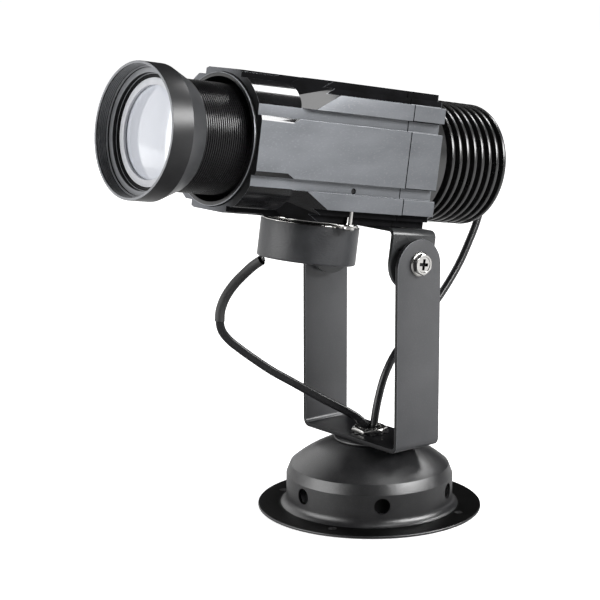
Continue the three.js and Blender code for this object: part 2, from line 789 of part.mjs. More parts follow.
// Heat sink
function heatSink() {
  const fins = Array.from({ length: finCount }, (_, i) => finFirst + finPitch * i).flatMap((y) => [
    point(finRoot, y - finThick / 2), point(finRadius, y - finThick / 2),
    point(finRadius, y + finThick / 2), point(finRoot, y + finThick / 2),
  ]);
  fins.pop();
  return aboutY([
    point(wireChannel, sinkFront), point(sleeveRadius, sinkFront),
    point(sleeveRadius, housingBack + clear), point(sinkCollarRadius, housingBack + clear),
    point(sinkCollarRadius, sinkCollarBack), point(finRoot, sinkCollarBack),
    ...fins,
    point(wireChannel, sinkEnd),
  ]);
}
piece(head, 'heat_sink', heatSink(), blackAnodised);
piece(head, 'lamp_lead_gland', aboutY([
  point(glandBore, sinkEnd - glandDepth), point(glandNeck, sinkEnd - glandDepth),
  point(glandNeck, sinkEnd + snug), point(glandFlange, sinkEnd + snug),
  point(glandFlange, sinkEnd + snug + glandFlangeThick), point(glandBore, sinkEnd + snug + glandFlangeThick),
], smallFacets), blackPlastic);

// Light source and condenser
const boardBack = sinkFront - clear;
const boardFront = boardBack - boardThick;
piece(head, 'led_board', alongY(polygon(rectangle(boardSide, boardSide)), boardFront, boardBack), steel);
piece(head, 'led_emitter', aboutY(
  rodProfile(emitterRadius, boardFront - snug - emitterThick, boardFront - snug),
  smallFacets,
), lampYellow);
piece(head, 'condenser_lens', lens(condenserRadius, condenserFlat, condenserEdge, condenserSag, -1), glass);
piece(head, 'condenser_holder', aboutY([
  point(holderLipRadius, condenserFlat + clear + holderLip),
  point(holderLipRadius, condenserFlat + clear),
  point(condenserRadius + clear, condenserFlat + clear),
  point(condenserRadius + clear, holderFront),
  point(holderRadius, holderFront),
  point(holderRadius, condenserFlat + clear + holderLip),
]), blackAnodised);

// Motor, its cover and its two-eared plate
const motorBottom = motorTop - motorDepth;
piece(head, 'motor_can', aboutZ([
  point(0, motorBottom), point(motorRadius, motorBottom), point(motorRadius, motorTop), point(0, motorTop),
]).translate(0, motorY, 0), nickel);
function motorCover() {
  const cup = aboutZ([
    point(0, coverBottom), point(coverRadius - coverEdge, coverBottom),
    point(coverRadius, coverBottom + coverEdge), point(coverRadius, coverTop),
    point(coverRadius - coverWall, coverTop), point(coverRadius - coverWall, coverBottom + coverFloor),
    point(0, coverBottom + coverFloor),
  ]).translate(0, motorY, 0);
  const hole = aboutZ(drill(grommetHoleRadius, coverBottom - over, coverBottom + coverFloor + over), smallFacets)
    .translate(leadHoleX, leadHoleY, 0);
  return cut(cup, [hole]);
}
piece(head, 'motor_cover', motorCover(), blackPlastic);
function tabPlate() {
  const tabBottom = tabPlateTop - tabPlateThick;
  const ear = (side) => arc(side * (tabReach - tabHalfWidth), 0, tabHalfWidth, -90, 90, arcSteps)
    .map((p) => point(side > 0 ? p.x : 2 * side * (tabReach - tabHalfWidth) - p.x, side * p.y));
  const bar = alongZ(polygon([...ear(1), ...ear(-1)]), tabBottom, tabPlateTop);
  const disc = aboutZ(rodProfile(tabPlateRadius, tabBottom, tabPlateTop));
  const hole = aboutZ(drill(shaftRadius + 2 * clear, tabBottom - over, tabPlateTop + over), smallFacets);
  return cut(join([bar, disc]), [hole]).translate(0, motorY, 0);
}
piece(head, 'motor_tab_plate', cut(tabPlate(), [tabScrewHole(1), tabScrewHole(-1)]), nickel);
const tabScrewSeat = tabPlateTop - tabPlateThick - snug;
const tabScrewLength = tabPlateThick + snug + tabScrewDepth;
for (const [name, side] of [['tab_screw_near', 1], ['tab_screw_far', -1]]) {
  const profile = panScrew(tabScrewHead, tabScrewHeadHeight, tabScrewRadius, tabScrewLength);
  piece(head, name, aboutZ(profile, smallFacets).rotateX(Math.PI)
    .translate(side * tabScrewX, motorY, tabScrewSeat), nickel);
}
piece(head, 'motor_lead_grommet', aboutZ([
  point(grommetBore, coverBottom - snug - grommetFlangeThick),
  point(grommetFlange, coverBottom - snug - grommetFlangeThick),
  point(grommetFlange, coverBottom - snug), point(grommetNeck, coverBottom - snug),
  point(grommetNeck, coverBottom + coverFloor), point(grommetBore, coverBottom + coverFloor),
], smallFacets).translate(leadHoleX, leadHoleY, 0), blackPlastic);

// Motor shaft and pinion
const pinionTop = -crownInner + clear;
const pinionBottom = -crownOuter;
piece(head, 'motor_shaft', aboutZ(rodProfile(shaftRadius, motorTop + clear, pinionTop), smallFacets)
  .translate(0, motorY, 0), steel);
function pinion() {
  const hub = alongZ(
    polygon(ringPoints(pinionRoot, 2 * pinionTeeth), [holePoints(shaftRadius + snug)]),
    pinionBottom,
    pinionTop,
  );
  const rootReach = pinionRoot - pinionToothWidth;
  const teeth = Array.from({ length: pinionTeeth }, (_, i) => alongZ(
    polygon([
      point(rootReach, -pinionToothWidth / 2), point(pinionTip, -pinionToothWidth / 2),
      point(pinionTip, pinionToothWidth / 2), point(rootReach, pinionToothWidth / 2),
    ]),
    pinionBottom,
    pinionTop,
  ).rotateZ(Math.PI / 2 + 2 * Math.PI * i / pinionTeeth));
  const bore = aboutZ(drill(shaftRadius + snug, pinionBottom - over, pinionTop + over), smallFacets);
  return cut(join([hub, ...teeth]), [bore]).translate(0, motorY, 0);
}
piece(head, 'drive_pinion', pinion(), brass);

// Crown gear, which carries the gobo, with its bearing ring and clip
const crownTeeth = pinionTeeth * gearRatio;
function crownGear() {
  const lipFront = hubBack - hubLipThick;
  const wheel = aboutY([
    point(hubBore, gearFace), point(crownOuter, gearFace),
    point(crownOuter, gearFace + crownFlangeThick), point(crownInner, gearFace + crownFlangeThick),
    point(crownInner, hubBack), point(hubLip, hubBack), point(hubLip, lipFront), point(hubBore, lipFront),
  ], crownTeeth);
  const toothBack = gearFace + crownFlangeThick / 2;
  const teeth = Array.from({ length: crownTeeth }, (_, i) => alongY(
    polygon([
      point(crownInner, -crownToothWidth / 2), point(crownOuter - snug, -crownToothWidth / 2),
      point(crownOuter - snug, crownToothWidth / 2), point(crownInner, crownToothWidth / 2),
    ]),
    gearFace - crownToothHeight,
    toothBack,
  ).rotateY(Math.PI / 2 + 2 * Math.PI * (i + 0.5) / crownTeeth));
  return join([wheel, ...teeth]);
}
piece(head, 'crown_gear', crownGear(), whitePlastic);
piece(head, 'gear_bearing_ring', aboutY(
  tubeProfile(crownInner + clear, sleeveRadius, bearingFront, bearingBack),
), brass);
piece(head, 'gear_retaining_clip', aboutY(
  tubeProfile(crownInner + snug, clipRadius, bearingBack + clear, bearingBack + clear + clipThick),
), steel);
const goboBack = hubBack - hubLipThick - clear;
const goboHoles = Array.from({ length: goboHoleCount }, (_, i) => ringPoints(goboHoleRadius, smallFacets / 2)
  .map((p) => p.add(point(goboHoleCircle, 0)).rotateAround(point(0, 0), 2 * Math.PI * i / goboHoleCount)));
piece(head, 'gobo_disc', alongY(
  polygon(ringPoints(goboRadius, fineFacets), [ringPoints(goboCentreHole, smallFacets), ...goboHoles]),
  goboBack - goboThick,
  goboBack,
), steel);
const goboRingBack = goboBack - goboThick - clear;
piece(head, 'gobo_ring', aboutY(
  tubeProfile(goboRingBore, goboRadius, goboRingBack - goboRingThick, goboRingBack),
), blackAnodised);

// Lens tube, hood, lenses and rings
piece(head, 'lens_barrel', aboutY([
  point(frontSeatRadius, barrelFront), point(barrelRadius, barrelFront),
  point(barrelRadius, barrelBack), point(rearSeatRadius, barrelBack),
  point(rearSeatRadius, barrelBack - rearSeatDepth), point(barrelBore, barrelBack - rearSeatDepth),
  point(barrelBore, barrelFront + frontSeatDepth), point(frontSeatRadius, barrelFront + frontSeatDepth),
]), blackAnodised);
piece(head, 'lens_hood', aboutY([
  point(hoodLipBore, hoodFront), point(hoodRadius, hoodFront),
  point(hoodRadius, hoodConeFront), point(hoodTailRadius, hoodConeBack),
  point(barrelRadius + clear, hoodConeBack), point(barrelRadius + clear, barrelFront - clear),
  point(hoodLedgeBore, barrelFront - clear), point(hoodLedgeBore, hoodLedgeY),
  point(hoodStepBore, hoodLedgeY), point(hoodStepBore, hoodStepY), point(hoodLipBore, hoodStepY),
]), blackAnodised);
piece(head, 'front_lens', lens(frontLensRadius, frontLensFlat, frontLensEdge, frontLensSag, -1), glass);
piece(head, 'front_lens_ring', aboutY(
  tubeProfile(frontRingBore, frontLensRadius, barrelFront + clear, barrelFront + clear + lensRingThick),
), blackAnodised);
piece(head, 'rear_lens', lens(rearLensRadius, rearLensFlat, rearLensEdge, rearLensSag, 1), glass);
piece(head, 'rear_lens_ring', aboutY(
  tubeProfile(rearRingBore, rearLensRadius, barrelBack - clear - lensRingThick, barrelBack - clear),
), blackAnodised);

// Leads
function lead(route, radius, sides) {
  const path = new THREE.CatmullRomCurve3(route.map((p) => new THREE.Vector3(...p)), false, 'centripetal');
  const steps = Math.ceil(path.getLength() / leadStep);
  return new THREE.ExtrudeGeometry(
    polygon(ringPoints(radius, sides)),
    { steps, bevelEnabled: false, extrudePath: path },
  );
}
piece(projector, 'motor_lead_sleeve', join([
  lead(sleeveRoute, leadSleeveRadius, 10),
  lead(leadEndRoute, leadEndRadius, 8),
]), blackPlastic);
piece(projector, 'motor_lead', lead(motorLeadRoute, motorLeadRadius, 8), blackPlastic);
piece(projector, 'lamp_lead', lead(lampLeadRoute, lampLeadRadius, 8), blackPlastic);

export default projector;
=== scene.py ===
# %% [markdown]
# # Dressing a gobo projector
# The real object is a small spotlight. Its square-bodied head tilts in a sheet-metal yoke, the yoke
# turns on a round canopy, and a motor under the head turns a patterned disc in the beam.
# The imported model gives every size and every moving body. This script adds finer shapes, finishes,
# lamps and a camera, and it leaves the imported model's own meshes alone.

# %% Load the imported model
import math
import bmesh
import bpy
from mathutils import Matrix, Vector


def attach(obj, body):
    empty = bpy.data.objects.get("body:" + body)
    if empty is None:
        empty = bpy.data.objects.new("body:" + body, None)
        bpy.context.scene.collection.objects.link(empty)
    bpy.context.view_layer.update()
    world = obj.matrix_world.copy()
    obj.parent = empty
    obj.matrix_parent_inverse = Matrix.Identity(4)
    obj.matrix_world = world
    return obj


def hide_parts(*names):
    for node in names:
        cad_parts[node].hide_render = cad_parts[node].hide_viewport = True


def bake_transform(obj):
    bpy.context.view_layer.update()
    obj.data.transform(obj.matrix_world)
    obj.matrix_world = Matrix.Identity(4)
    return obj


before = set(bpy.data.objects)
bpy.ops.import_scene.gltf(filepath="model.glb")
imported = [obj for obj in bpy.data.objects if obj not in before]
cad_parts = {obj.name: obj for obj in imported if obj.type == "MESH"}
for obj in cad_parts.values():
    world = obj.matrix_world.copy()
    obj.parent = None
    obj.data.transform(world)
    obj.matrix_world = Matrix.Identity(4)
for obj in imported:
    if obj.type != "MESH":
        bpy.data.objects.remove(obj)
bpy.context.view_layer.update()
print("nodes:", len(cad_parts))

# %% [markdown]
# ## The camera
# A photograph is matched by its viewpoint, its lens and where the lens's axis meets the picture.
# The camera looks from the right of the beam and a little above it, through a long lens.
# A small shift takes the place of cropping, so the perspective stays that of the photograph.

# %% Camera
mm = 0.001
look_at = Vector((-40.33, 0, 106.86)) * mm
look_from = math.radians(50.80)
look_down = math.radians(11.38)
look_distance = 1003.25 * mm
away = Vector((
    math.sin(look_from) * math.cos(look_down),
    -math.cos(look_from) * math.cos(look_down),
    math.sin(look_down),
))


def put_in_scene(name, data):
    thing = bpy.data.objects.new(name, data)
    bpy.context.collection.objects.link(thing)
    return thing


camera = put_in_scene("camera", bpy.data.cameras.new("camera"))
camera.location = look_at + away * look_distance
camera.rotation_euler = (-away).to_track_quat("-Z", "Y").to_euler()
camera.data.lens = 110.19
camera.data.sensor_width = 36
camera.data.shift_x = -0.0367
camera.data.shift_y = -0.0030
camera.data.clip_start = 0.05
camera.data.clip_end = 50
bpy.context.scene.camera = camera
bpy.context.scene.view_settings.view_transform = "Standard"
print("camera at", [round(value, 3) for value in camera.location])

# %% [markdown]
# ## Node trees in a few words
# Every finish, and every repeat further down, is a tree of nodes. A small class adds nodes and feeds
# their inputs, and a function makes a group with named sockets, so each tree reads as a short list.

# %% Helpers for node trees
class Wiring:
    """A node tree, with short ways to add nodes and to feed their inputs."""

    def __init__(self, tree):
        self.tree = tree

    def feed(self, node, inputs):
        """Each input gets a plain value, or a link from the socket given for it."""
        for name, value in inputs.items():
            if isinstance(value, bpy.types.NodeSocket):
                self.tree.links.new(value, node.inputs[name])
            else:
                node.inputs[name].default_value = value
        return node

    def add(self, kind, inputs=None, **settings):
        node = self.tree.nodes.new(kind)
        for name, value in settings.items():
            setattr(node, name, value)
        return self.feed(node, inputs or {})

    def math(self, operation, first, second):
        return self.add("ShaderNodeMath", {0: first, 1: second}, operation=operation).outputs[0]

    def ramp(self, value, low, high, start=0, end=1):
        """Goes from start to end while the value goes from low to high."""
        return self.add("ShaderNodeMapRange", {
            "Value": value, "From Min": low, "From Max": high, "To Min": start, "To Max": end,
        }).outputs[0]


def new_group(name, kind, inputs, outputs):
    """A node group whose sockets are given by name and type."""
    tree = bpy.data.node_groups.new(name, kind)
    for way, sockets in (("INPUT", inputs), ("OUTPUT", outputs)):
        for label, socket in sockets.items():
            tree.interface.new_socket(label, in_out=way, socket_type="NodeSocket" + socket)
    return tree


# %% [markdown]
# ## Finishes
# Paint, plastic and metal all vary a little over a surface: broad patches, fine grain and a few
# bright specks. One node group makes these once, and each finish places it with its own sizes.
# The group gives out a colour, a roughness and a height, which feed the shader's own sockets.

# %% The shared surface group
def surface_group():
    numbers = ("Roughness", "Roughness Spread", "Patch Size", "Grain Size", "Grain Depth",
               "Speck Size", "Speck Share")
    tree = new_group("surface", "ShaderNodeTree", {
        "Color": "Color", "Patch Color": "Color", "Speck Color": "Color", "Stretch": "Vector",
        **{name: "Float" for name in numbers},
    }, {"Color": "Color", "Roughness": "Float", "Height": "Float"})
    wiring = Wiring(tree)
    given = wiring.add("NodeGroupInput").outputs
    place = wiring.add("ShaderNodeTexCoord").outputs["Object"]
    stretched = wiring.add("ShaderNodeVectorMath", {0: place, 1: given["Stretch"]},
                           operation="MULTIPLY").outputs[0]

    def noise(size, detail):
        texture = wiring.add("ShaderNodeTexNoise", {
            "Vector": stretched, "Scale": wiring.math("DIVIDE", 1, given[size]), "Detail": detail,
        })
        return wiring.ramp(texture.outputs["Fac"], 0.3, 0.7)

    def mixed(factor, first, second):
        return wiring.add("ShaderNodeMix", {"Factor": factor, "A": first, "B": second},
                          data_type="RGBA").outputs["Result"]

    patches = noise("Patch Size", 3)
    grain = noise("Grain Size", 2)
    specks = noise("Speck Size", 0)
    patched = mixed(patches, given["Color"], given["Patch Color"])
    grained = wiring.math("MULTIPLY", wiring.math("MULTIPLY", grain, given["Grain Depth"]), patches)
    shaded = mixed(grained, patched, given["Speck Color"])
    sparse = wiring.math("ADD", wiring.math("SUBTRACT", specks, 1), given["Speck Share"])
    sharp = wiring.ramp(sparse, 0, 0.06)
    varied = wiring.math("MULTIPLY", wiring.math("SUBTRACT", patches, 0.5), given["Roughness Spread"])
    wiring.add("NodeGroupOutput", {
        "Color": mixed(sharp, shaded, given["Speck Color"]),
        "Roughness": wiring.math("ADD", given["Roughness"], varied),
        "Height": wiring.math("ADD", grain, wiring.math("MULTIPLY", sharp, 0.5)),
    })
    return tree


surface = surface_group()
print("surface group:", len(surface.nodes), "nodes")


# %% A finish from the surface group
def new_material(name):
    """A material with its wiring and its shader."""
    material = bpy.data.materials.new(name)
    material.use_nodes = True
    return material, Wiring(material.node_tree), material.node_tree.nodes["Principled BSDF"]


def finish(name, color, patch_color, roughness, spread=0.08, metallic=0.0, patch=18, grain=0.5,
           grain_depth=0.15, speck=1.0, speck_share=0.0, speck_color=None, bump=0.2, depth=0.02,
           specular=0.5, coat=0.0, coat_roughness=0.1, stretch=(1, 1, 1)):
    """The surface group at one finish's values; patch, grain, speck and depth are millimetres."""
    material, wiring, shader = new_material(name)
    group = wiring.add("ShaderNodeGroup", {
        "Color": (*color, 1), "Patch Color": (*patch_color, 1),
        "Speck Color": (*(speck_color or patch_color), 1),
        "Roughness": roughness, "Roughness Spread": spread, "Stretch": stretch,
        "Patch Size": patch * mm, "Grain Size": grain * mm, "Grain Depth": grain_depth,
        "Speck Size": speck * mm, "Speck Share": speck_share,
    }, node_tree=surface)
    raised = wiring.add("ShaderNodeBump", {
        "Strength": bump, "Distance": depth * mm, "Height": group.outputs["Height"],
    })
    wiring.feed(shader, {
        "Base Color": group.outputs["Color"], "Roughness": group.outputs["Roughness"],
        "Normal": raised.outputs["Normal"], "Metallic": metallic, "Specular IOR Level": specular,
        "Coat Weight": coat, "Coat Roughness": coat_roughness,
    })
    return material


# %% [markdown]
# The numbers of a finish are its colour, the colour of its patches and its roughness. Black parts
# differ mostly in gloss: powder coat is satin and speckled, milled aluminium is nearly a mirror, and
# sawn aluminium hardly shines at all.

# %% The projector's finishes
powder = finish("powder_coat", (0.006, 0.006, 0.007), (0.009, 0.009, 0.010), 0.34, spread=0.03, patch=9,
                grain=0.4, grain_depth=0.3, speck=0.5, speck_share=0.03, speck_color=(0.035, 0.035, 0.035),
                bump=0.5, depth=0.05, specular=0.9)
# powder_painted_shade: the coat painted darker and duller, as painted shade on the flange's flat top.
powder_painted_shade = finish("powder_painted_shade", (0.001, 0.001, 0.001), (0.002, 0.002, 0.002), 0.45, spread=0.03, patch=9,
                     grain=0.4, grain_depth=0.3, bump=0.4, depth=0.05, specular=0.1)
yoke_paint = finish("yoke_paint", (0.040, 0.041, 0.044), (0.050, 0.051, 0.054), 0.36, spread=0.03, patch=30,
                    grain=0.35, grain_depth=0.2, speck=0.7, speck_share=0.008,
                    speck_color=(0.12, 0.12, 0.13), bump=0.12, specular=0.7)
# web_painted_shade: painted shade on top of the yoke's web, between the arms.
web_painted_shade = finish("web_painted_shade", (0.005, 0.005, 0.006), (0.008, 0.008, 0.009), 0.30, spread=0.03, patch=10,
                   grain=0.35, grain_depth=0.2, bump=0.12, specular=0.15)
# painted_shade_black: painted shade on the yoke's narrow edges, in the screws' cross slots and on the grub
# screw in its hole.
painted_shade_black = finish("painted_shade_black", (0.010, 0.010, 0.011), (0.015, 0.015, 0.016), 0.40, patch=12,
                    grain=0.35, grain_depth=0.2, bump=0.1, specular=0.2)
ear_paint = finish("ear_paint", (0.030, 0.031, 0.032), (0.040, 0.041, 0.043), 0.30, patch=20,
                   grain=0.35, grain_depth=0.2, bump=0.1)
# side_painted_sheen: the housing's left and right sides painted grey as painted sheen; the same pads on top
# and bottom stay black.
side_painted_sheen = finish("side_painted_sheen", (0.140, 0.148, 0.160), (0.180, 0.190, 0.205), 0.40, metallic=0.35,
                     patch=11, grain=0.4, grain_depth=0.35, speck=0.5, speck_share=0.03,
                     speck_color=(0.22, 0.225, 0.24), bump=0.25, stretch=(1, 0.3, 1))
milled_black = finish("milled_black", (0.006, 0.006, 0.006), (0.009, 0.009, 0.010), 0.10, spread=0.02,
                      patch=14, grain=0.5, grain_depth=0.2, bump=0.02, specular=0.6)
sawn_black = finish("sawn_black", (0.006, 0.006, 0.006), (0.010, 0.010, 0.011), 0.45, patch=14,
                    grain=0.5, grain_depth=0.2, bump=0.05, specular=0.0)
sleeve_black = finish("sleeve_black", (0.010, 0.010, 0.011), (0.014, 0.014, 0.015), 0.34, spread=0.02,
                      patch=12, grain=0.3, grain_depth=0.2, bump=0.04)
sink_black = finish("sink_black", (0.008, 0.008, 0.008), (0.012, 0.012, 0.012), 0.28, spread=0.02, patch=14,
                    grain=0.3, grain_depth=0.2, bump=0.05, specular=0.8)
# mouth_painted_light: the hood's black mouth painted light grey, as painted light from the front.
mouth_painted_light = finish("mouth_painted_light", (0.20, 0.206, 0.218), (0.25, 0.256, 0.270), 0.36, patch=10, grain=0.3,
                    grain_depth=0.2, bump=0.05)
deep_black = finish("deep_black", (0.002, 0.002, 0.0025), (0.003, 0.003, 0.0035), 0.36, patch=12, bump=0.04,
                    specular=0.2)
crest_black = finish("crest_black", (0.010, 0.010, 0.011), (0.014, 0.014, 0.015), 0.26, patch=12, bump=0.04,
                     specular=0.6)
# cone_painted_light: the hood's cone painted lighter, as painted light.
cone_painted_light = finish("cone_painted_light", (0.036, 0.037, 0.039), (0.046, 0.047, 0.049), 0.34, patch=12, bump=0.05)
ring_grey = finish("ring_grey", (0.54, 0.55, 0.58), (0.62, 0.63, 0.66), 0.5, patch=6, bump=0.1)
# painted_highlight_edge: a painted highlight on rims and on upper edges, where light lines fall.
painted_highlight_edge = finish("painted_highlight_edge", (0.27, 0.28, 0.30), (0.34, 0.35, 0.37), 0.36, metallic=0.6, patch=4,
                   grain=0.4, grain_depth=0.4, bump=0.1)
# nickel_painted_shade: painted shade on the sides of the pivot screws' heads and flanges.
nickel_painted_shade = finish("nickel_painted_shade", (0.07, 0.07, 0.07), (0.12, 0.12, 0.12), 0.35, metallic=0.8, patch=3,
                     bump=0.1)
nickel = finish("nickel", (0.62, 0.61, 0.59), (0.72, 0.71, 0.69), 0.20, metallic=1.0, patch=5,
                grain=0.3, bump=0.1, depth=0.01)
zinc = finish("zinc", (0.42, 0.43, 0.44), (0.52, 0.53, 0.54), 0.38, metallic=1.0, patch=14, grain=0.6)
brass = finish("brass", (0.52, 0.36, 0.13), (0.60, 0.43, 0.18), 0.3, metallic=1.0, patch=6)
black_plastic = finish("black_plastic", (0.014, 0.014, 0.015), (0.020, 0.020, 0.021), 0.45, patch=8)
white_plastic = finish("white_plastic", (0.72, 0.72, 0.69), (0.78, 0.78, 0.75), 0.4, patch=10)
phosphor = finish("phosphor", (0.78, 0.60, 0.12), (0.84, 0.67, 0.18), 0.5, patch=3)
rubber = finish("lead_rubber", (0.007, 0.007, 0.008), (0.012, 0.012, 0.013), 0.26, patch=8,
                grain=0.3, bump=0.1)
tube_fibre = finish("tube_fibre", (0.020, 0.020, 0.020), (0.032, 0.032, 0.032), 0.55, patch=5,
                    grain=0.4, grain_depth=0.5, bump=0.3)
turned_face = finish("turned_face", (0.13, 0.135, 0.145), (0.17, 0.175, 0.19), 0.5, metallic=0.2, patch=8,
                     grain=0.4, grain_depth=0.3, bump=0.1, specular=0.2)
print("finishes:", len(bpy.data.materials))

# %% [markdown]
# Two surfaces of the head carry painted shade along a direction. The side panels are painted darker
# towards the back, and the turned front end is painted much darker towards its near side, because
# round lathe marks shine only where they lie across the light. A second small group scales a colour along a
# direction.

# %% Colours that fade along a direction
def fade_group():
    tree = new_group("fade", "ShaderNodeTree", {
        "Color": "Color", "Direction": "Vector", "Clear At": "Float", "Dark At": "Float",
        "Dark Share": "Float",
    }, {"Color": "Color"})
    wiring = Wiring(tree)
    given = wiring.add("NodeGroupInput").outputs
    place = wiring.add("ShaderNodeTexCoord").outputs["Object"]
    run = wiring.add("ShaderNodeVectorMath", {0: place, 1: given["Direction"]}, operation="DOT_PRODUCT")
    share = wiring.ramp(run.outputs["Value"], given["Clear At"], given["Dark At"], 1, given["Dark Share"])
    scaled = wiring.add("ShaderNodeVectorMath", {0: given["Color"], "Scale": share}, operation="SCALE")
    wiring.add("NodeGroupOutput", {"Color": scaled.outputs[0]})
    return tree


fade = fade_group()


def faded(material, direction, clear_at, dark_at, dark_share):
    """Lets the material's colour fall to a share of itself between two places along the direction."""
    shader = material.node_tree.nodes["Principled BSDF"]
    wiring = Wiring(material.node_tree)
    group = wiring.add("ShaderNodeGroup", {
        "Color": shader.inputs["Base Color"].links[0].from_socket, "Direction": direction,
        "Clear At": clear_at * mm, "Dark At": dark_at * mm, "Dark Share": dark_share,
    }, node_tree=fade)
    wiring.feed(shader, {"Base Color": group.outputs["Color"]})


# Painted shade: darker towards the back of the side panels and towards the near side of the front end.
faded(side_painted_sheen, (0, 1, 0), clear_at=-85, dark_at=40, dark_share=0.62)
faded(turned_face, (1, 0, 0), clear_at=4, dark_at=20, dark_share=0.10)
print("fading finishes:", side_painted_sheen.name, turned_face.name)

# %% [markdown]
# ## Mesh helpers
# Most of the projector is turned on a lathe or bent from sheet. A lathe piece is its profile of
# radius and height, swept round an axis, and real corners are slightly round, so they catch light.
# Shapes are in millimetres. Pieces of the head are made about the beam, with Y along it and the
# pivots below, and one matrix then tilts them into place.

# %% Places in the world and in the head
pivot_height, axis_rise = 137.01, 51.72
rest_tilt = math.radians(8.76)
in_world = Matrix.Scale(mm, 4)
in_head = (in_world @ Matrix.Translation((0, 0, pivot_height)) @ Matrix.Rotation(-rest_tilt, 4, "X")
           @ Matrix.Translation((0, 0, axis_rise)))
about_y = Matrix.Rotation(math.radians(-90), 4, "X")
about_x = Matrix.Rotation(math.radians(90), 4, "Y")
print("the beam passes", axis_rise, "mm above the pivots")


# %% Lathe and corner helpers
def softened(points, radius, steps=2, least=20):
    """The closed outline with each sharp corner rounded."""
    outline = []
    count = len(points)
    for index, point in enumerate(points):
        here = Vector(point)
        before = Vector(points[index - 1]) - here
        after = Vector(points[(index + 1) % count]) - here
        turn = math.pi - before.angle(after)
        if here.x < 1e-6 or turn < math.radians(least):
            outline.append(tuple(here))
            continue
        reach = min(radius * math.tan(turn / 2), 0.45 * before.length, 0.45 * after.length)
        start = here + before.normalized() * reach
        end = here + after.normalized() * reach
        for step in range(steps + 1):
            t = step / steps
            outline.append(tuple(start * (1 - t) ** 2 + here * 2 * t * (1 - t) + end * t * t))
    return outline


def arc(centre, radius, start, end, steps):
    angles = [math.radians(start + (end - start) * i / steps) for i in range(steps + 1)]
    return [(centre[0] + radius * math.cos(a), centre[1] + radius * math.sin(a)) for a in angles]


def lathe(profile, facets=96):
    """A bmesh about Z from (radius, height) points, with a map of run round and run along."""
    mesh = bmesh.new()
    layer = mesh.loops.layers.uv.new("UVMap")
    rows = []
    for radius, height in profile:
        if radius < 1e-6:
            rows.append([mesh.verts.new((0, 0, height))])
            continue
        angles = [2 * math.pi * i / facets for i in range(facets)]
        rows.append([mesh.verts.new((radius * math.cos(a), radius * math.sin(a), height)) for a in angles])
    along = 0
    for index, (point, following) in enumerate(zip(profile, profile[1:] + profile[:1])):
        row, after = rows[index], rows[(index + 1) % len(rows)]
        length = (Vector(following) - Vector(point)).length
        if len(row) == 1 and len(after) == 1:
            continue
        for i in range(facets):
            j = (i + 1) % facets
            corners = [(row[i % len(row)], i, along), (row[j % len(row)], i + 1, along),
                       (after[j % len(after)], i + 1, along + length),
                       (after[i % len(after)], i, along + length)]
            kept = []
            for corner in corners:
                if corner[0] not in [k[0] for k in kept]:
                    kept.append(corner)
            face = mesh.faces.new([k[0] for k in kept])
            for loop, (_, turn, run) in zip(face.loops, kept):
                loop[layer].uv = (turn / facets, run)
        along += length
    bmesh.ops.recalc_face_normals(mesh, faces=mesh.faces)
    return mesh


def ring(bore, radius, low, high, soft=0.3, facets=96):
    return lathe(softened([(bore, low), (radius, low), (radius, high), (bore, high)], soft), facets)


def plug(radius, low, high, facets=40, at=(0, 0, 0)):
    """A plain cylinder about Z, to cut holes with."""
    shape = lathe([(0, low), (radius, low), (radius, high), (0, high)], facets)
    bmesh.ops.translate(shape, vec=at, verts=shape.verts)
    return shape


def prism(points, low, high, soft=0.0):
    """A bmesh along Z from an outline, its edges bevelled by soft."""
    mesh = bmesh.new()
    face = mesh.faces.new([mesh.verts.new((x, y, low)) for x, y in points])
    grown = bmesh.ops.extrude_face_region(mesh, geom=[face])["geom"]
    top = [item for item in grown if isinstance(item, bmesh.types.BMVert)]
    bmesh.ops.translate(mesh, vec=(0, 0, high - low), verts=top)
    bmesh.ops.recalc_face_normals(mesh, faces=mesh.faces)
    if soft:
        trim(mesh, soft)
    return mesh


def trim(mesh, width, least=30):
    """Bevels the edges that turn by more than least degrees."""
    sharp = [e for e in mesh.edges if e.is_manifold and e.calc_face_angle(0) > math.radians(least)]
    bmesh.ops.bevel(mesh, geom=sharp, offset=width, segments=2, profile=0.5,
                    affect="EDGES", clamp_overlap=True)
    return mesh


def joined(shape, other):
    """The first shape with the faces of the other added."""
    shape.from_mesh(to_mesh(other))
    return shape


def to_mesh(shape, name="shape"):
    mesh = bpy.data.meshes.new(name)
    shape.to_mesh(mesh)
    shape.free()
    return mesh


def with_cuts(shape, cutters, operation="DIFFERENCE"):
    """The shape after one boolean with each cutter; all of them are bmeshes."""
    body = put_in_scene("body", to_mesh(shape))
    others = []
    for cutter in cutters:
        other = put_in_scene("cutter", to_mesh(cutter))
        others.append(other)
        change = body.modifiers.new("change", "BOOLEAN")
        change.operation = operation
        change.solver = "EXACT"
        change.object = other
    bpy.context.view_layer.update()
    evaluated = body.evaluated_get(bpy.context.evaluated_depsgraph_get())
    result = bmesh.new()
    result.from_mesh(evaluated.to_mesh())
    evaluated.to_mesh_clear()
    for thing in [body, *others]:
        bpy.data.objects.remove(thing)
    bmesh.ops.remove_doubles(result, verts=result.verts, dist=1e-4)
    return result


# %% [markdown]
# ## Repeats with Geometry Nodes
# Fins, ridges, washer teeth and pairs of screws are one shape repeated by a rule. One tree takes
# the shape as its geometry, sets a copy at every step along a line, turns each copy a little more
# than the last, and gives all of them their finish. Realised, the copies become one plain mesh.

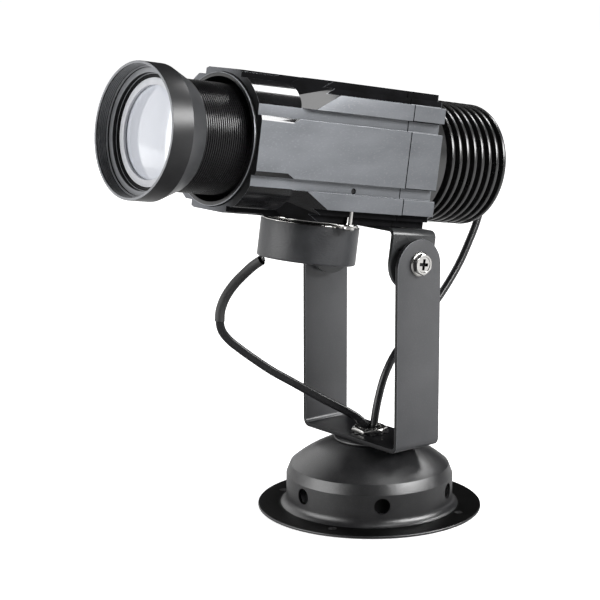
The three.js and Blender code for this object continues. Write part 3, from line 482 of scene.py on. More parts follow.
# %% The repeat tree
def repeat_tree():
    tree = new_group("repeat", "GeometryNodeTree", {
        "Geometry": "Geometry", "Count": "Int", "Step": "Vector", "Turn": "Vector", "Finish": "Material",
    }, {"Geometry": "Geometry"})
    wiring = Wiring(tree)
    given = wiring.add("NodeGroupInput").outputs
    line = wiring.add("GeometryNodeMeshLine", {"Count": given["Count"], "Offset": given["Step"]})
    index = wiring.add("GeometryNodeInputIndex")
    turned = wiring.add("ShaderNodeVectorMath", {0: given["Turn"], "Scale": index.outputs[0]},
                        operation="SCALE")
    copies = wiring.add("GeometryNodeInstanceOnPoints", {
        "Points": line.outputs[0], "Instance": given["Geometry"], "Rotation": turned.outputs[0],
    })
    realised = wiring.add("GeometryNodeRealizeInstances", {0: copies.outputs[0]})
    painted = wiring.add("GeometryNodeSetMaterial", {
        "Geometry": realised.outputs[0], "Material": given["Finish"],
    })
    wiring.add("NodeGroupOutput", {0: painted.outputs[0]})
    return tree


repeat = repeat_tree()
repeat_inputs = {item.name: item.identifier for item in repeat.interface.items_tree
                 if item.in_out == "INPUT"}
print("repeat tree inputs:", ", ".join(repeat_inputs))


def repeated(shape, count, look, step=(0, 0, 0), turn=(0, 0, 0)):
    """The shape set count times by the repeat tree, as a bmesh whose faces keep their marks."""
    part = shape.faces.layers.int.new("part")
    for face in shape.faces:
        face[part] = face.material_index
    holder = put_in_scene("holder", to_mesh(shape))
    modifier = holder.modifiers.new("repeat", "NODES")
    modifier.node_group = repeat
    modifier[repeat_inputs["Count"]] = count
    modifier[repeat_inputs["Step"]] = step
    modifier[repeat_inputs["Turn"]] = [math.radians(angle) for angle in turn]
    modifier[repeat_inputs["Finish"]] = look
    bpy.context.view_layer.update()
    evaluated = holder.evaluated_get(bpy.context.evaluated_depsgraph_get())
    mesh = bpy.data.meshes.new_from_object(evaluated)
    holder.modifiers.remove(modifier)
    bpy.data.objects.remove(holder)
    result = bmesh.new()
    result.from_mesh(mesh)
    part = result.faces.layers.int["part"]
    for face in result.faces:
        face.material_index = face[part]
    return result


# %% [markdown]
# A finished shape becomes an object at the origin, with its place worked into its mesh. It hides the
# imported nodes that it replaces, and it rides on their body.

# %% Turning a shape into a finished piece
def new_piece(name, shape, looks, nodes, place, sharp):
    bmesh.ops.transform(shape, matrix=place, verts=shape.verts)
    mesh = to_mesh(shape, name)
    for look in looks:
        mesh.materials.append(look)
    mesh.shade_smooth()
    mesh.set_sharp_from_angle(angle=math.radians(sharp))
    piece = put_in_scene(name, mesh)
    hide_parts(*nodes)
    print(f"{name}: {len(mesh.polygons)} faces")
    return piece


def finished(name, shape, looks, body, nodes, place=None, sharp=35):
    """Puts the shape where it belongs, paints it and lets it ride on its body."""
    home = in_head if body in ("head", "lens", "rotor", "pinion") else in_world
    looks = looks if isinstance(looks, list) else [looks]
    piece = new_piece(name, shape, looks, nodes, home @ (place or Matrix()), sharp)
    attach(piece, body)
    return piece


def repaint(look, *nodes):
    for node in nodes:
        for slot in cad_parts[node].material_slots:
            slot.link = "OBJECT"
            slot.material = look


def mark(shape, rule):
    """Gives each face the place of its finish in the piece's list."""
    shape.normal_update()
    for face in shape.faces:
        face.material_index = rule(face)


def level_and_radius(face):
    """The height of a face's middle, and its distance from the Z axis."""
    middle = face.calc_center_median()
    return middle.z, math.hypot(middle.x, middle.y)


def moved(shape, matrix):
    bmesh.ops.transform(shape, matrix=matrix, verts=shape.verts)
    return shape


# %% [markdown]
# ## The leads
# Two leads go down into the hollow stem. The motor's flat twin lead leaves its cover, runs through
# a short push-on tube and sags forward. The lamp's round lead leaves the middle of the heat sink
# and hangs behind the yoke. Each is one tube on a smooth curve through the route's points, with
# the section turned so that it never twists.

# %% Lead routes and a swept tube
motor_route = [
    (-14.9, -58.8, 138.75), (-16.4, -59.6, 138.1),
    (-20.6, -61.6, 134.9), (-24.2, -64.6, 130.6), (-27.6, -69, 124.8), (-29.6, -73.2, 118.2),
    (-30.2, -75.9, 111.5), (-29.9, -76.5, 105.1), (-29.5, -75.6, 101), (-28.1, -72.3, 96),
    (-26, -67.3, 91.2), (-23, -60.3, 85.2), (-19.5, -51, 77.9), (-15.8, -40.4, 70.9),
    (-13.2, -32.6, 65.7), (-10.6, -24.8, 60.6), (-7.9, -16.8, 55.7), (-5.2, -9.4, 51),
    (-3.4, -5, 47.6), (-1.9, -2.5, 44.4), (-1.45, -1.8, 40.8), (-1.4, -1.7, 36.5), (-1.4, -1.7, 26),
]
tube_route = [
    (-16.4, -59.6, 138.1), (-20.6, -61.6, 134.9), (-24.2, -64.6, 130.6), (-27.6, -69, 124.8),
    (-29.6, -73.2, 118.2), (-30.2, -75.9, 111.5), (-30, -76.6, 106.1),
]
lamp_route = [
    (0, 68.5, 178.75), (0, 72.5, 178), (0.2, 76.6, 175.4), (0.6, 79.2, 171), (1.2, 79.8, 165.5),
    (2, 78.6, 157.5), (2.8, 74.8, 147.9), (3.3, 68.4, 136.8), (3.6, 60.1, 124.3), (3.8, 47.6, 110.2),
    (3.6, 36.5, 99.8), (3.3, 25.4, 90.4), (3, 15.4, 81.6), (2.5, 8.4, 70.4), (2, 4.6, 59),
    (1.6, 2.7, 50), (1.4, 1.9, 43.4), (1.4, 1.7, 37), (1.4, 1.7, 26),
]


def smooth_path(route, spacing=1.2):
    """Points on a smooth curve through the route, evenly spaced."""
    points = [Vector(p) for p in route]
    ends = [2 * points[0] - points[1], *points, 2 * points[-1] - points[-2]]
    fine = []
    for p0, p1, p2, p3 in zip(ends, ends[1:], ends[2:], ends[3:]):
        t1 = (p1 - p0).length ** 0.5
        t2 = t1 + (p2 - p1).length ** 0.5
        t3 = t2 + (p3 - p2).length ** 0.5
        for step in range(16):
            t = t1 + (t2 - t1) * step / 16
            a1 = p0 * ((t1 - t) / t1) + p1 * (t / t1)
            a2 = p1 * ((t2 - t) / (t2 - t1)) + p2 * ((t - t1) / (t2 - t1))
            a3 = p2 * ((t3 - t) / (t3 - t2)) + p3 * ((t - t2) / (t3 - t2))
            b1 = a1 * ((t2 - t) / t2) + a2 * (t / t2)
            b2 = a2 * ((t3 - t) / (t3 - t1)) + a3 * ((t - t1) / (t3 - t1))
            fine.append(b1 * ((t2 - t) / (t2 - t1)) + b2 * ((t - t1) / (t2 - t1)))
    fine.append(points[-1])
    path = [fine[0]]
    for point in fine[1:-1]:
        if (point - path[-1]).length >= spacing:
            path.append(point)
    return [*path, fine[-1]]


def swept(path, section, facing, scale=None):
    """A closed tube: the section's first axis lies square to the path and to the facing way."""
    mesh = bmesh.new()
    layer = mesh.loops.layers.uv.new("UVMap")
    rows = []
    for index, point in enumerate(path):
        tangent = (path[min(index + 1, len(path) - 1)] - path[max(index - 1, 0)]).normalized()
        side = facing.cross(tangent).normalized()
        other = tangent.cross(side)
        size = scale(index) if scale else 1
        rows.append([mesh.verts.new(point + (side * x + other * y) * size) for x, y in section])
    run = 0
    for before, after, p, q in zip(rows, rows[1:], path, path[1:]):
        length = (q - p).length
        for i in range(len(section)):
            j = (i + 1) % len(section)
            face = mesh.faces.new([before[i], before[j], after[j], after[i]])
            corners = [(i, run), (i + 1, run), (i + 1, run + length), (i, run + length)]
            for loop, (turn, along) in zip(face.loops, corners):
                loop[layer].uv = (turn / len(section), along)
        run += length
    mesh.faces.new(rows[0])
    mesh.faces.new(rows[-1])
    bmesh.ops.recalc_face_normals(mesh, faces=mesh.faces)
    return mesh


def path_length(path):
    return sum((q - p).length for p, q in zip(path, path[1:]))


# %% The motor's flat twin lead and its tube
core_radius, core_apart = 1.15, 1.1
tube_radius, tube_bore_share = 2.6, 0.88
end_share, full_from, growth = 0.52, 3, 0.06


def circle(radius, facets=20):
    """A round section for a lead or a tube."""
    angles = [2 * math.pi * i / facets for i in range(facets)]
    return [(radius * math.cos(a), radius * math.sin(a)) for a in angles]


def lead_scale(index):
    """The lead is thin in the grommet and grows to its full size just past it."""
    return min(1, end_share + max(0, index - full_from) * growth)


def lead_piece(name, shape, look, node):
    return new_piece(name, shape, [look], [node], in_world, sharp=50)


def in_metres(path):
    return [tuple(point * mm) for point in path]


twin = arc((core_apart, 0), core_radius, -100, 100, 10) + arc((-core_apart, 0), core_radius, 80, 280, 10)
motor_path = smooth_path(motor_route)
motor_lead = lead_piece("motor_twin_lead", swept(motor_path, twin, away, lead_scale), rubber, "motor_lead")
tube_path = smooth_path(tube_route)
longer_path = [2 * tube_path[0] - tube_path[1], *tube_path, 2 * tube_path[-1] - tube_path[-2]]
tube_wall = with_cuts(swept(tube_path, circle(tube_radius), away),
                      [swept(longer_path, circle(tube_radius * tube_bore_share), away)])
motor_tube = lead_piece("motor_lead_tube", tube_wall, tube_fibre, "motor_lead_sleeve")
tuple(in_metres(motor_path)[0])
path_length(motor_path) * mm
print("motor lead:", round(path_length(motor_path)), "mm")

# %% The lamp's round lead
lamp_lead_radius = 2.1
lamp_path = smooth_path(lamp_route)
lamp_lead = lead_piece("lamp_round_lead", swept(lamp_path, circle(lamp_lead_radius), away), rubber,
                       "lamp_lead")
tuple(in_metres(lamp_path)[0])
path_length(lamp_path) * mm
print("lamp lead:", round(path_length(lamp_path)), "mm")

# %% [markdown]
# Both leads cross the tilt joint: their upper ends go with the head and their lower ends with the
# yoke. Each lead's place is worked into its mesh.

# %% Leads' places worked into their meshes
for lead in (motor_lead, motor_tube):
    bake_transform(lead)
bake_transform(lamp_lead)

# %% [markdown]
# ## The canopy
# A canopy is spun from sheet: a flat flange, a fillet, an upright wall with vents and a low dome.
# Its profile is swept as on the real spinning lathe, and the vents and screw holes are then cut.

# %% Canopy profile
sheet = 1.5
flange_radius, wall_top, stem_bore = 60, 18, 6.55
fillet_centre, fillet_radius = (49.2, 6), 4.5
wall_radius = fillet_centre[0] - fillet_radius
bevel_edge, crown_edge = (42.6, 23.4), (18.6, 36.9)
wall_inside, bevel_inside, crown_inside = (43.2, 17.4), (41.4, 22.6), (18.1, 35.5)
dome_radius = 70
chord = Vector(crown_edge) - Vector(bevel_edge)
drop = math.sqrt(dome_radius ** 2 - chord.length_squared / 4) / chord.length
dome_centre = (
    (bevel_edge[0] + crown_edge[0]) / 2 - chord.y * drop,
    (bevel_edge[1] + crown_edge[1]) / 2 + chord.x * drop,
)


def dome_arc(first, last, radius):
    """The dome's curve between two points of the profile."""
    start, end = (math.degrees(math.atan2(point[1] - dome_centre[1], point[0] - dome_centre[0]))
                  for point in (first, last))
    return arc(dome_centre, radius, start, end, 14)


canopy_outline = softened([
    (flange_radius, 0), (flange_radius, sheet), *arc(fillet_centre, fillet_radius, 270, 180, 10),
    (wall_radius, wall_top), *dome_arc(bevel_edge, crown_edge, dome_radius),
    (stem_bore, crown_edge[1]), (stem_bore, crown_edge[1] - sheet),
    *dome_arc(crown_inside, bevel_inside, dome_radius - sheet), wall_inside,
    *arc(fillet_centre, fillet_radius + sheet, 180, 270, 10),
], 0.7, steps=3)
print("canopy profile:", len(canopy_outline), "points")

# %% Canopy with its holes and vents
hole_radius, hole_circle, first_hole = 2.25, 51.1, 27.6
vent_radius, vent_height, first_vent = 4.25, 12.3, 58.1
canopy_cuts = []
for quarter in range(4):
    angle = math.radians(first_hole + 90 * quarter)
    spot = (hole_circle * math.sin(angle), -hole_circle * math.cos(angle), 0)
    canopy_cuts.append(plug(hole_radius, -2, 4, 28, spot))
for sixth in range(6):
    turn = Matrix.Rotation(math.radians(first_vent + 60 * sixth - 90), 4, "Z")
    canopy_cuts.append(moved(plug(vent_radius, 40, 48),
                             Matrix.Translation((0, 0, vent_height)) @ turn @ about_x))


def flange_top(face):
    """1 on the flange's flat top, painted darker and duller as painted shade, and 0 elsewhere."""
    level, _ = level_and_radius(face)
    return 1 if face.normal.z > 0.97 and level < 2 else 0


canopy = with_cuts(lathe(canopy_outline, 192), canopy_cuts)
mark(canopy, flange_top)
finished("canopy_spun", canopy, [powder, powder_painted_shade], "base", ["canopy_shell"],
         sharp=40)
finished("friction_disc", ring(stem_bore, 18.9, 37.05, 38.15, 0.4), powder, "base",
         ["pan_friction_disc"])
repaint(zinc, "closing_dish", "driver_screw_front", "driver_screw_back", "stem_lower_nut")
repaint(black_plastic, "led_driver")

# %% [markdown]
# ## The stem, its nut and the toothed washer
# The stem is a threaded tube with a thin nut on top. Threads are grooves at an even pitch, so the
# profile repeats one groove. The washer's teeth are one tooth repeated round the ring.

# %% Stem and nut
stem_low, stem_top, stem_inside = 24, 43.26, 5.3
thread_radius, root_radius, thread_turns = 6.25, 5.95, 19
thread = []
for turn in range(thread_turns):
    level = stem_low + turn
    thread += [(thread_radius, level), (thread_radius, level + 0.35), (root_radius, level + 0.65),
               (thread_radius, level + 0.95)]
stem = lathe([(stem_inside, stem_low), *thread, (6.0, stem_top), (stem_inside, stem_top)], 64)
finished("stem_thread", stem, nickel, "base", ["threaded_stem"])


def hex_outline(across, turn=0):
    radius = across / math.sqrt(3)
    angles = [math.radians(60 * i + turn) for i in range(6)]
    return [(radius * math.cos(a), radius * math.sin(a)) for a in angles]


def hex_nut(across, low, high, bore):
    """A nut whose corners are turned down on its upper side."""
    rim = across / math.sqrt(3) + 1
    turned = lathe([(0, low - 1), (rim, low - 1), (rim, high - 1.6), (across / 2 - 0.2, high), (0, high)], 96)
    shaped = with_cuts(prism(hex_outline(across), low, high), [turned], "INTERSECT")
    return trim(with_cuts(shaped, [plug(bore, low - 2, high + 2, 48)]), 0.12)


finished("stem_nut", hex_nut(17, 41.06, stem_top, 6.4), nickel, "base", ["stem_top_nut"])

# %% The toothed washer
washer_low, washer_high, teeth = 40.51, 40.91, 12
tooth = prism([(8.6, -1.3), (9.2, -1.5), (10.4, -0.7), (10.4, 0.7), (9.2, 1.5), (8.6, 1.3)],
              washer_low, washer_high)
washer = joined(repeated(tooth, teeth, black_plastic, turn=(0, 0, 360 / teeth)),
                ring(6.45, 8.8, washer_low + 0.01, washer_high - 0.01, 0.1, 64))
finished("toothed_washer", washer, black_plastic, "base", ["stem_lock_washer"])

# %% [markdown]
# ## The yoke and the ears
# Both are one strip of sheet bent to a U with round ends. The strip is built in rows that follow
# the bend, each as wide as the strip is there, so that the edges can be rounded in one pass.

# %% A bent strip
def bent_strip(half_span, thick, bend, web, arc_level, half_width, soft):
    """Rows from the tip of the +X arm round the web to the tip of the other arm."""
    way = 1 if arc_level > web else -1
    tip = [math.radians(90 * i / 16) for i in range(17)]
    rows = [(half_span, arc_level + way * half_width * math.sin(angle), 1, 0, half_width * math.cos(angle))
            for angle in reversed(tip)]
    for share in (0.25, 0.5, 0.75):
        level = arc_level + (web + way * bend - arc_level) * share
        rows.append((half_span, level, 1, 0, half_width))
    for i in range(13):
        angle = math.radians(90 * i / 12)
        rows.append((half_span - bend + bend * math.cos(angle), web + way * (bend - bend * math.sin(angle)),
                     math.cos(angle), -way * math.sin(angle), half_width))
    mirrored = [(-x, z, -nx, nz, w) for x, z, nx, nz, w in reversed(rows)]
    mesh = bmesh.new()
    previous = None
    for x, z, nx, nz, width in rows + mirrored:
        inner_x, inner_z = x - nx * thick, z - nz * thick
        row = [mesh.verts.new(corner) for corner in (
            (x, -width, z), (x, width, z), (inner_x, width, inner_z), (inner_x, -width, inner_z),
        )]
        if previous:
            for i in range(4):
                j = (i + 1) % 4
                mesh.faces.new([previous[i], previous[j], row[j], row[i]])
        previous = row
    bmesh.ops.remove_doubles(mesh, verts=mesh.verts, dist=1e-3)
    bmesh.ops.recalc_face_normals(mesh, faces=mesh.faces)
    rim = [e for e in mesh.edges if e.is_manifold and e.calc_face_angle(0) > math.radians(60)]
    bmesh.ops.bevel(mesh, geom=rim, offset=soft, segments=3, profile=0.5,
                    affect="EDGES", clamp_overlap=True)
    return mesh


def strip_part(face):
    """1 on the narrow edges, painted dark as painted shade, 2 on top of the web, painted dark as painted
    shade, 3 on the rims, painted bright as a painted highlight, 0 on the sides.
    """
    level, _ = level_and_radius(face)
    across, along = abs(face.normal.x), abs(face.normal.y)
    at_tip = level > pivot_height - 2.3
    if across < 0.02 and (along > 0.9 or at_tip):
        return 1
    if 0.25 < across < 0.97:
        return 3 if along > 0.2 or at_tip else 0
    return 2 if face.normal.z > 0.9 and level < 42 else 0


def hole_along_x(radius, low, high, y, z):
    return moved(plug(radius, low, high), Matrix.Translation((0, y, z)) @ about_x)


# %% Yoke and ears
half_yoke, half_ears, pivot_hole = 38.4, 32.5, 3.3
ear_screw_x, ear_screw_y = 24, -3.5
yoke = with_cuts(
    bent_strip(half_yoke, 2.06, 4.4, 38.3, pivot_height - 2.1, 14.62, 0.45),
    [plug(stem_bore, 36, 44, 64), hole_along_x(pivot_hole, -42, 42, 0, pivot_height)],
)
mark(yoke, strip_part)
finished("yoke_strip", yoke, [yoke_paint, painted_shade_black, web_painted_shade, painted_highlight_edge], "yoke",
         ["yoke_bracket"], sharp=30)
ears = with_cuts(bent_strip(half_ears, 2, 4, -34.94, -axis_rise, 14.65, 0.45), [
    hole_along_x(pivot_hole, -36, 36, 0, -axis_rise),
    *(plug(2.3, -40, -32, 32, (x, ear_screw_y, 0)) for x in (ear_screw_x, -ear_screw_x)),
])
finished("ear_strip", ears, ear_paint, "head", ["ear_bracket"], sharp=30)

# %% [markdown]
# ## Screws
# The pivot screws are hexagon-flange screws with a cross slot, one each side. The smaller screws
# have domed heads with a cross slot. Each kind is made once and set in its places by the tree.

# %% Pivot screws, spacers and nuts
def cross_slot(top, length, width, deep):
    """Two crossed bars, to cut a screwdriver's cross with."""
    return [prism([(-x, -y), (x, -y), (x, y), (-x, y)], top - deep, top + 1)
            for x, y in ((length / 2, width / 2), (width / 2, length / 2))]


def in_slot(top, reach):
    """The slot's walls and floor lie under the head's face and near its middle."""
    def rule(face):
        level, radius = level_and_radius(face)
        return 1 if top - 2.4 < level < top and radius < reach else 0
    return rule


pivot_seat, pivot_top = 38.55, 42.05


def pivot_screw():
    """About Z: a hexagon head on a turned flange, with a dished top and a cross slot."""
    turned = lathe([(0, 38), (7, 38), (7, 40.9), (5.0, pivot_top), (0, pivot_top)], 64)
    head = with_cuts(prism(hex_outline(10, 12), 39.0, pivot_top), [turned], "INTERSECT")
    flange = lathe(softened([
        (0, pivot_seat), (6.4, pivot_seat), (6.4, 39.15), (5.6, 39.65), (0, 39.65),
    ], 0.2), 72)
    shank = lathe([(0, 24.7), (2.7, 24.7), (3, 25.2), (3, 38.8), (0, 38.8)], 40)
    dish = lathe([(0, 41.75), (3.9, 41.75), (4.4, 42.3), (0, 42.3)], 64)
    shape = with_cuts(with_cuts(head, [flange, shank], "UNION"), [dish, *cross_slot(42.0, 5.8, 1.7, 1.9)])
    cross = in_slot(41.7, 3.2)

    def dark_part(face):
        """1 in the cross slot, painted dark as painted shade, 2 on the sides of the head and of the flange,
        painted darker as painted shade.
        """
        if cross(face):
            return 1
        _, radius = level_and_radius(face)
        return 2 if abs(face.normal.z) < 0.3 and radius > 4.2 else 0

    mark(shape, dark_part)
    return shape


to_pivot = Matrix.Translation((0, 0, -axis_rise)) @ about_x


def both_sides(shape, look):
    """The shape, made about Z, at the near pivot and again at the far one."""
    return repeated(shape, 2, look, turn=(0, 180, 0))


spacer = ring(pivot_hole, 7, 32.8, 36.04, 0.3, 64)
finished("pivot_screws", both_sides(pivot_screw(), nickel), [nickel, painted_shade_black, nickel_painted_shade], "head",
         ["pivot_screw_near", "pivot_screw_far"], place=to_pivot, sharp=25)
finished("pivot_spacers", both_sides(spacer, black_plastic), black_plastic, "head",
         ["pivot_spacer_near", "pivot_spacer_far"], place=to_pivot)
finished("pivot_nuts", both_sides(hex_nut(10, 26.2, 30.2, 3.15), nickel), nickel, "head",
         ["pivot_nut_near", "pivot_nut_far"], place=to_pivot, sharp=25)


# %% Small screws
def domed_screw(head_radius, head_height, shank_radius, length):
    """About Z: the head above its seat at level 0."""
    dome = [(head_radius * math.cos(a), head_height * (0.35 + 0.65 * math.sin(a)))
            for a in [math.radians(90 * i / 8) for i in range(8)]]
    shape = lathe([(0, -length), (shank_radius, -length), (shank_radius, 0), (head_radius, 0), *dome,
                   (0, head_height)], 36)
    shape = with_cuts(shape, cross_slot(head_height, head_radius * 1.1, 0.8, 1.1))
    # The cross slot is painted dark, as painted shade.
    mark(shape, in_slot(head_height * 0.8, head_radius * 0.6))
    return shape


upside_down = Matrix.Rotation(math.pi, 4, "X")
motor_y, tab_reach = -43.3, 30
for pair, screw, x, y, seat in (
    ("ear", domed_screw(3.5, 2.2, 2, 8.3), ear_screw_x, ear_screw_y, -37.09),
    ("tab", domed_screw(2.95, 2, 1.6, 8.15), tab_reach, motor_y, -36.15),
):
    finished(f"{pair}_screws", repeated(screw, 2, nickel, step=(-2 * x, 0, 0)), [nickel, painted_shade_black],
             "head", [f"{pair}_screw_near", f"{pair}_screw_far"],
             place=Matrix.Translation((x, y, seat)) @ upside_down, sharp=30)

# %% [markdown]
# ## The housing
# The head's body is a square bar, sawn from one extrusion: each side has a middle band and two
# raised pads, and a round bore runs through it. Its front corners are turned down to a cylinder
# and then milled to slopes. The same steps make the mesh, and its edges are then broken.

# %% Housing
core_half, pad_face, band_half, groove_outer, pad_edge = 31.04, 34.64, 14.33, 19.8, 28
bore = 32.9
lower_half = [
    (core_half, -pad_edge), (pad_face, -pad_edge), (pad_face, -groove_outer),
    (core_half, -groove_outer), (core_half, -band_half), (pad_face, -band_half),
]
one_side = [(core_half, -core_half), *lower_half, *((x, -z) for x, z in reversed(lower_half))]
bar_outline = []
for quarter in range(4):
    turn = Matrix.Rotation(math.radians(90 * quarter), 2)
    bar_outline += [tuple(turn @ Vector(p)) for p in one_side]


def on_beam(shape):
    return moved(shape, about_y)


def bar(front, back):
    """The sawn bar from front to back along the beam."""
    return on_beam(prism(bar_outline, front, back))


def ramp_body():
    """A four-sided pyramid that widens backwards; its faces are the milled slopes."""
    corner_a = Vector((pad_face, -75.8, groove_outer))
    corner_b = Vector((pad_face, -61.8, pad_edge))
    corner_c = Vector((25.95, -81.2, 25.95))
    normal = (corner_b - corner_a).cross(corner_c - corner_a)
    level = normal.dot(corner_a)
    mesh = bmesh.new()
    rows = []
    for y in (-112, 12):
        rest = level - normal.y * y
        axis_reach = rest / normal.x
        corner_reach = rest / (normal.x + normal.z)
        row = []
        for quarter in range(4):
            turn = Matrix.Rotation(math.radians(90 * quarter), 2)
            for p in ((axis_reach, 0), (corner_reach, corner_reach)):
                x, z = turn @ Vector(p)
                row.append(mesh.verts.new((x, y, z)))
        rows.append(row)
    for i in range(8):
        j = (i + 1) % 8
        mesh.faces.new([rows[0][i], rows[0][j], rows[1][j], rows[1][i]])
    mesh.faces.new(rows[0])
    mesh.faces.new(rows[1])
    bmesh.ops.recalc_face_normals(mesh, faces=mesh.faces)
    return mesh


def beam_bore():
    return on_beam(plug(bore, -120, 20, 160))


joint, half_gap = -12.8, 0.15
nose = with_cuts(on_beam(plug(36.7, -112, -12, 160)), [ramp_body()], "UNION")
front_shape = with_cuts(bar(-108.5, joint - half_gap), [nose], "INTERSECT")
front_shape = with_cuts(front_shape, [beam_bore(), hole_along_x(1.5, 0, 40, -43.6, -18.1)])
rear_shape = with_cuts(bar(joint + half_gap, 8.8), [beam_bore()])


def housing_part(face):
    """0 on the sides, grey as painted sheen, 1 on turned and milled corners, 2 on sawn faces, 3 on the front
    end.
    """
    middle, normal = face.calc_center_median(), face.normal
    raised = abs(middle.x) > 34
    groove_floor = abs(middle.x) > 30.5 and abs(middle.z) < pad_edge
    if abs(normal.x) > 0.99 and (raised or groove_floor):
        return 0
    if normal.y < -0.99:
        return 3
    if min(abs(normal.x), abs(normal.z)) < 0.3:
        return 2
    on_slope = abs(normal.y) > 0.2
    return 2 if on_slope and abs(middle.z) > abs(middle.x) else 1


def edge_part(face):
    """Broken edges: dark at the joint, painted shade underneath, and a painted highlight on the front
    length's upper edges.
    """
    middle, normal = face.calc_center_median(), face.normal
    if abs(middle.y - joint) < 0.5 and abs(normal.y) > 0.05:
        return 2
    along = abs(normal.y) < 0.2 and abs(normal.x) > 0.3 and abs(normal.z) > 0.3
    if face.material_index == 1 or not along:
        return face.material_index
    if normal.z < 0 or abs(middle.z) > 30:
        return 2
    return 4 if middle.y < -13 else face.material_index


for name, shape, node in (
    ("housing_front", front_shape, "front_housing"),
    ("housing_rear", rear_shape, "rear_housing"),
):
    mark(shape, housing_part)
    trim(shape, 0.28, least=25)
    mark(shape, edge_part)
    finished(name, shape, [side_painted_sheen, milled_black, sawn_black, turned_face, painted_highlight_edge], "head",
             [node], sharp=16)

# %% [markdown]
# ## The lens tube
# The hood, its focusing barrel and the lenses are all turned. The barrel's grip is one fine ridge
# repeated at an even pitch, and the hood's mouth has a filter thread inside.

# %% Hood
hood_radius, hood_front, cone_front, cone_back = 32.93, -157.2, -145.5, -134.6
barrel_radius, hood_fit = 27.27, 0.3
hood_bore = barrel_radius + hood_fit
filter_thread = []
for groove in range(5):
    y = -156.4 + groove * 0.95
    filter_thread += [(31.4, y), (32.0, y + 0.3), (32.0, y + 0.45), (31.4, y + 0.75)]
hood = lathe(softened([
    (31.6, hood_front), (hood_radius, hood_front), (hood_radius, cone_front), (28.05, cone_back),
    (hood_bore, cone_back), (hood_bore, -147.8), (28, -147.8), (28, -150), (30.5, -150), (30.5, -151.2),
    (31.5, -151.2), *reversed(filter_thread),
], 0.45, steps=3, least=40), 160)


def hood_part(face):
    """1 on the lip and ledges of the mouth, painted light grey as painted light, 2 on the wall behind them, 3
    on the cone, painted lighter as painted light, 0 elsewhere.
    """
    level, radius = level_and_radius(face)
    if face.normal.z < -0.4:
        return 1
    if 0.2 < face.normal.z < 0.8 and level > cone_front - 0.1:
        return 3
    return 2 if radius < 30.8 and level < cone_back - 0.1 else 0


mark(hood, hood_part)
finished("hood_turned", hood, [sleeve_black, mouth_painted_light, deep_black, cone_painted_light], "lens",
         ["lens_hood"], place=about_y, sharp=12)

# %% Barrel
ridge_pitch, ridge_count = 1.25, 34
ridge = lathe([(26.4, 0), (26.95, 0), (barrel_radius, 0.35), (barrel_radius, 0.6), (26.95, 0.95),
               (26.4, 0.95)], 128)
grip = repeated(ridge, ridge_count, sleeve_black, step=(0, 0, ridge_pitch))
barrel = joined(lathe([
    (26.3, -147.5), (barrel_radius, -147.5), (barrel_radius, -134.5), (26.9, -134.3), (26.9, -91.5),
    (barrel_radius, -91.2), (barrel_radius, -62), (25, -62), (25, -71), (24, -71), (24, -141.5),
    (26.3, -141.5),
], 128), moved(grip, Matrix.Translation((0, 0, -134.2))))


def on_crest(face):
    """1 on the ridges' crests, which are rubbed shiny, and 0 elsewhere."""
    level, radius = level_and_radius(face)
    return 1 if radius > 27.15 and -134.3 < level < -91.4 else 0


mark(barrel, on_crest)
finished("barrel_ridged", barrel, [deep_black, crest_black], "lens", ["lens_barrel"],
         place=about_y, sharp=25)
finished("lens_ring", ring(22.5, 26, -147.2, -145.7, 0.3, 128), ring_grey, "lens",
         ["front_lens_ring"], place=about_y)
repaint(sleeve_black, "rear_lens_ring")

# %% [markdown]
# ## Glass
# The front lens looks pale, because it gathers the bright room behind the camera. Its shader is a
# clear coat over a pale base colour with a little transmission; the pale colour is a painted reflection of
# that room, so it stays bright without any lamp behind it.

# %% Lenses
def glass_finish(name, color, transmission, roughness):
    material = finish(name, color, color, roughness, spread=0.02, patch=20, grain=3, bump=0.0,
                      coat=1.0, coat_roughness=0.02)
    Wiring(material.node_tree).feed(material.node_tree.nodes["Principled BSDF"], {
        "Transmission Weight": transmission, "IOR": 1.5,
    })
    return material


# The front glass's pale base colour is a painted reflection of the bright room.
front_glass_painted_reflection = glass_finish("front_glass_painted_reflection", (0.70, 0.725, 0.785), 0.08, 0.12)
clear_glass = glass_finish("clear_glass", (0.92, 0.94, 0.96), 0.9, 0.03)


def dome_lens(radius, flat, edge, sag, way):
    """A flat back, a straight edge and a domed face that bulges by sag in the given way."""
    curve = (radius * radius + sag * sag) / (2 * sag)
    dome = []
    for i in range(17):
        r = radius * (1 - i / 16)
        dome.append((r, flat + way * (edge + math.sqrt(curve * curve - r * r) - (curve - sag))))
    return lathe([(0, flat), (radius, flat), *dome], 96)


finished("front_lens_ground", dome_lens(26, -141.8, 2.8, 3, -1), front_glass_painted_reflection, "lens",
         ["front_lens"], place=about_y, sharp=40)
repaint(clear_glass, "rear_lens", "condenser_lens")

# %% [markdown]
# ## The heat sink
# Eight round fins are turned on one bar. One fin is made with its rim slightly round, and the tree
# sets eight of them at an even pitch on the core.

# %% Heat sink
fin_count, fin_pitch, first_fin, fin_radius = 8, 5.35, 20.65, 32.53
sink_front, core_back, lead_hole = 2.9, 59.0, 3.2
fins = repeated(ring(19, fin_radius, -1, 1, 0.45, 144), fin_count, sink_black, step=(0, 0, fin_pitch))
sink = joined(lathe(softened([
    (lead_hole, sink_front), (32.6, sink_front), (32.6, 9.1), (32.5, 9.1), (32.5, 15.6), (20, 15.6),
    (20, core_back), (lead_hole, core_back),
], 0.4), 144), moved(fins, Matrix.Translation((0, 0, first_fin))))
finished("sink_finned", sink, sink_black, "head", ["heat_sink"], place=about_y, sharp=30)
gland = lathe(softened([
    (2, 54.1), (2.9, 54.1), (2.9, 59.25), (5, 59.25), (5, 60), (4.3, 60.85), (2.15, 60.85),
], 0.2), 40)
finished("gland_collar", gland, black_plastic, "head", ["lamp_lead_gland"], place=about_y)


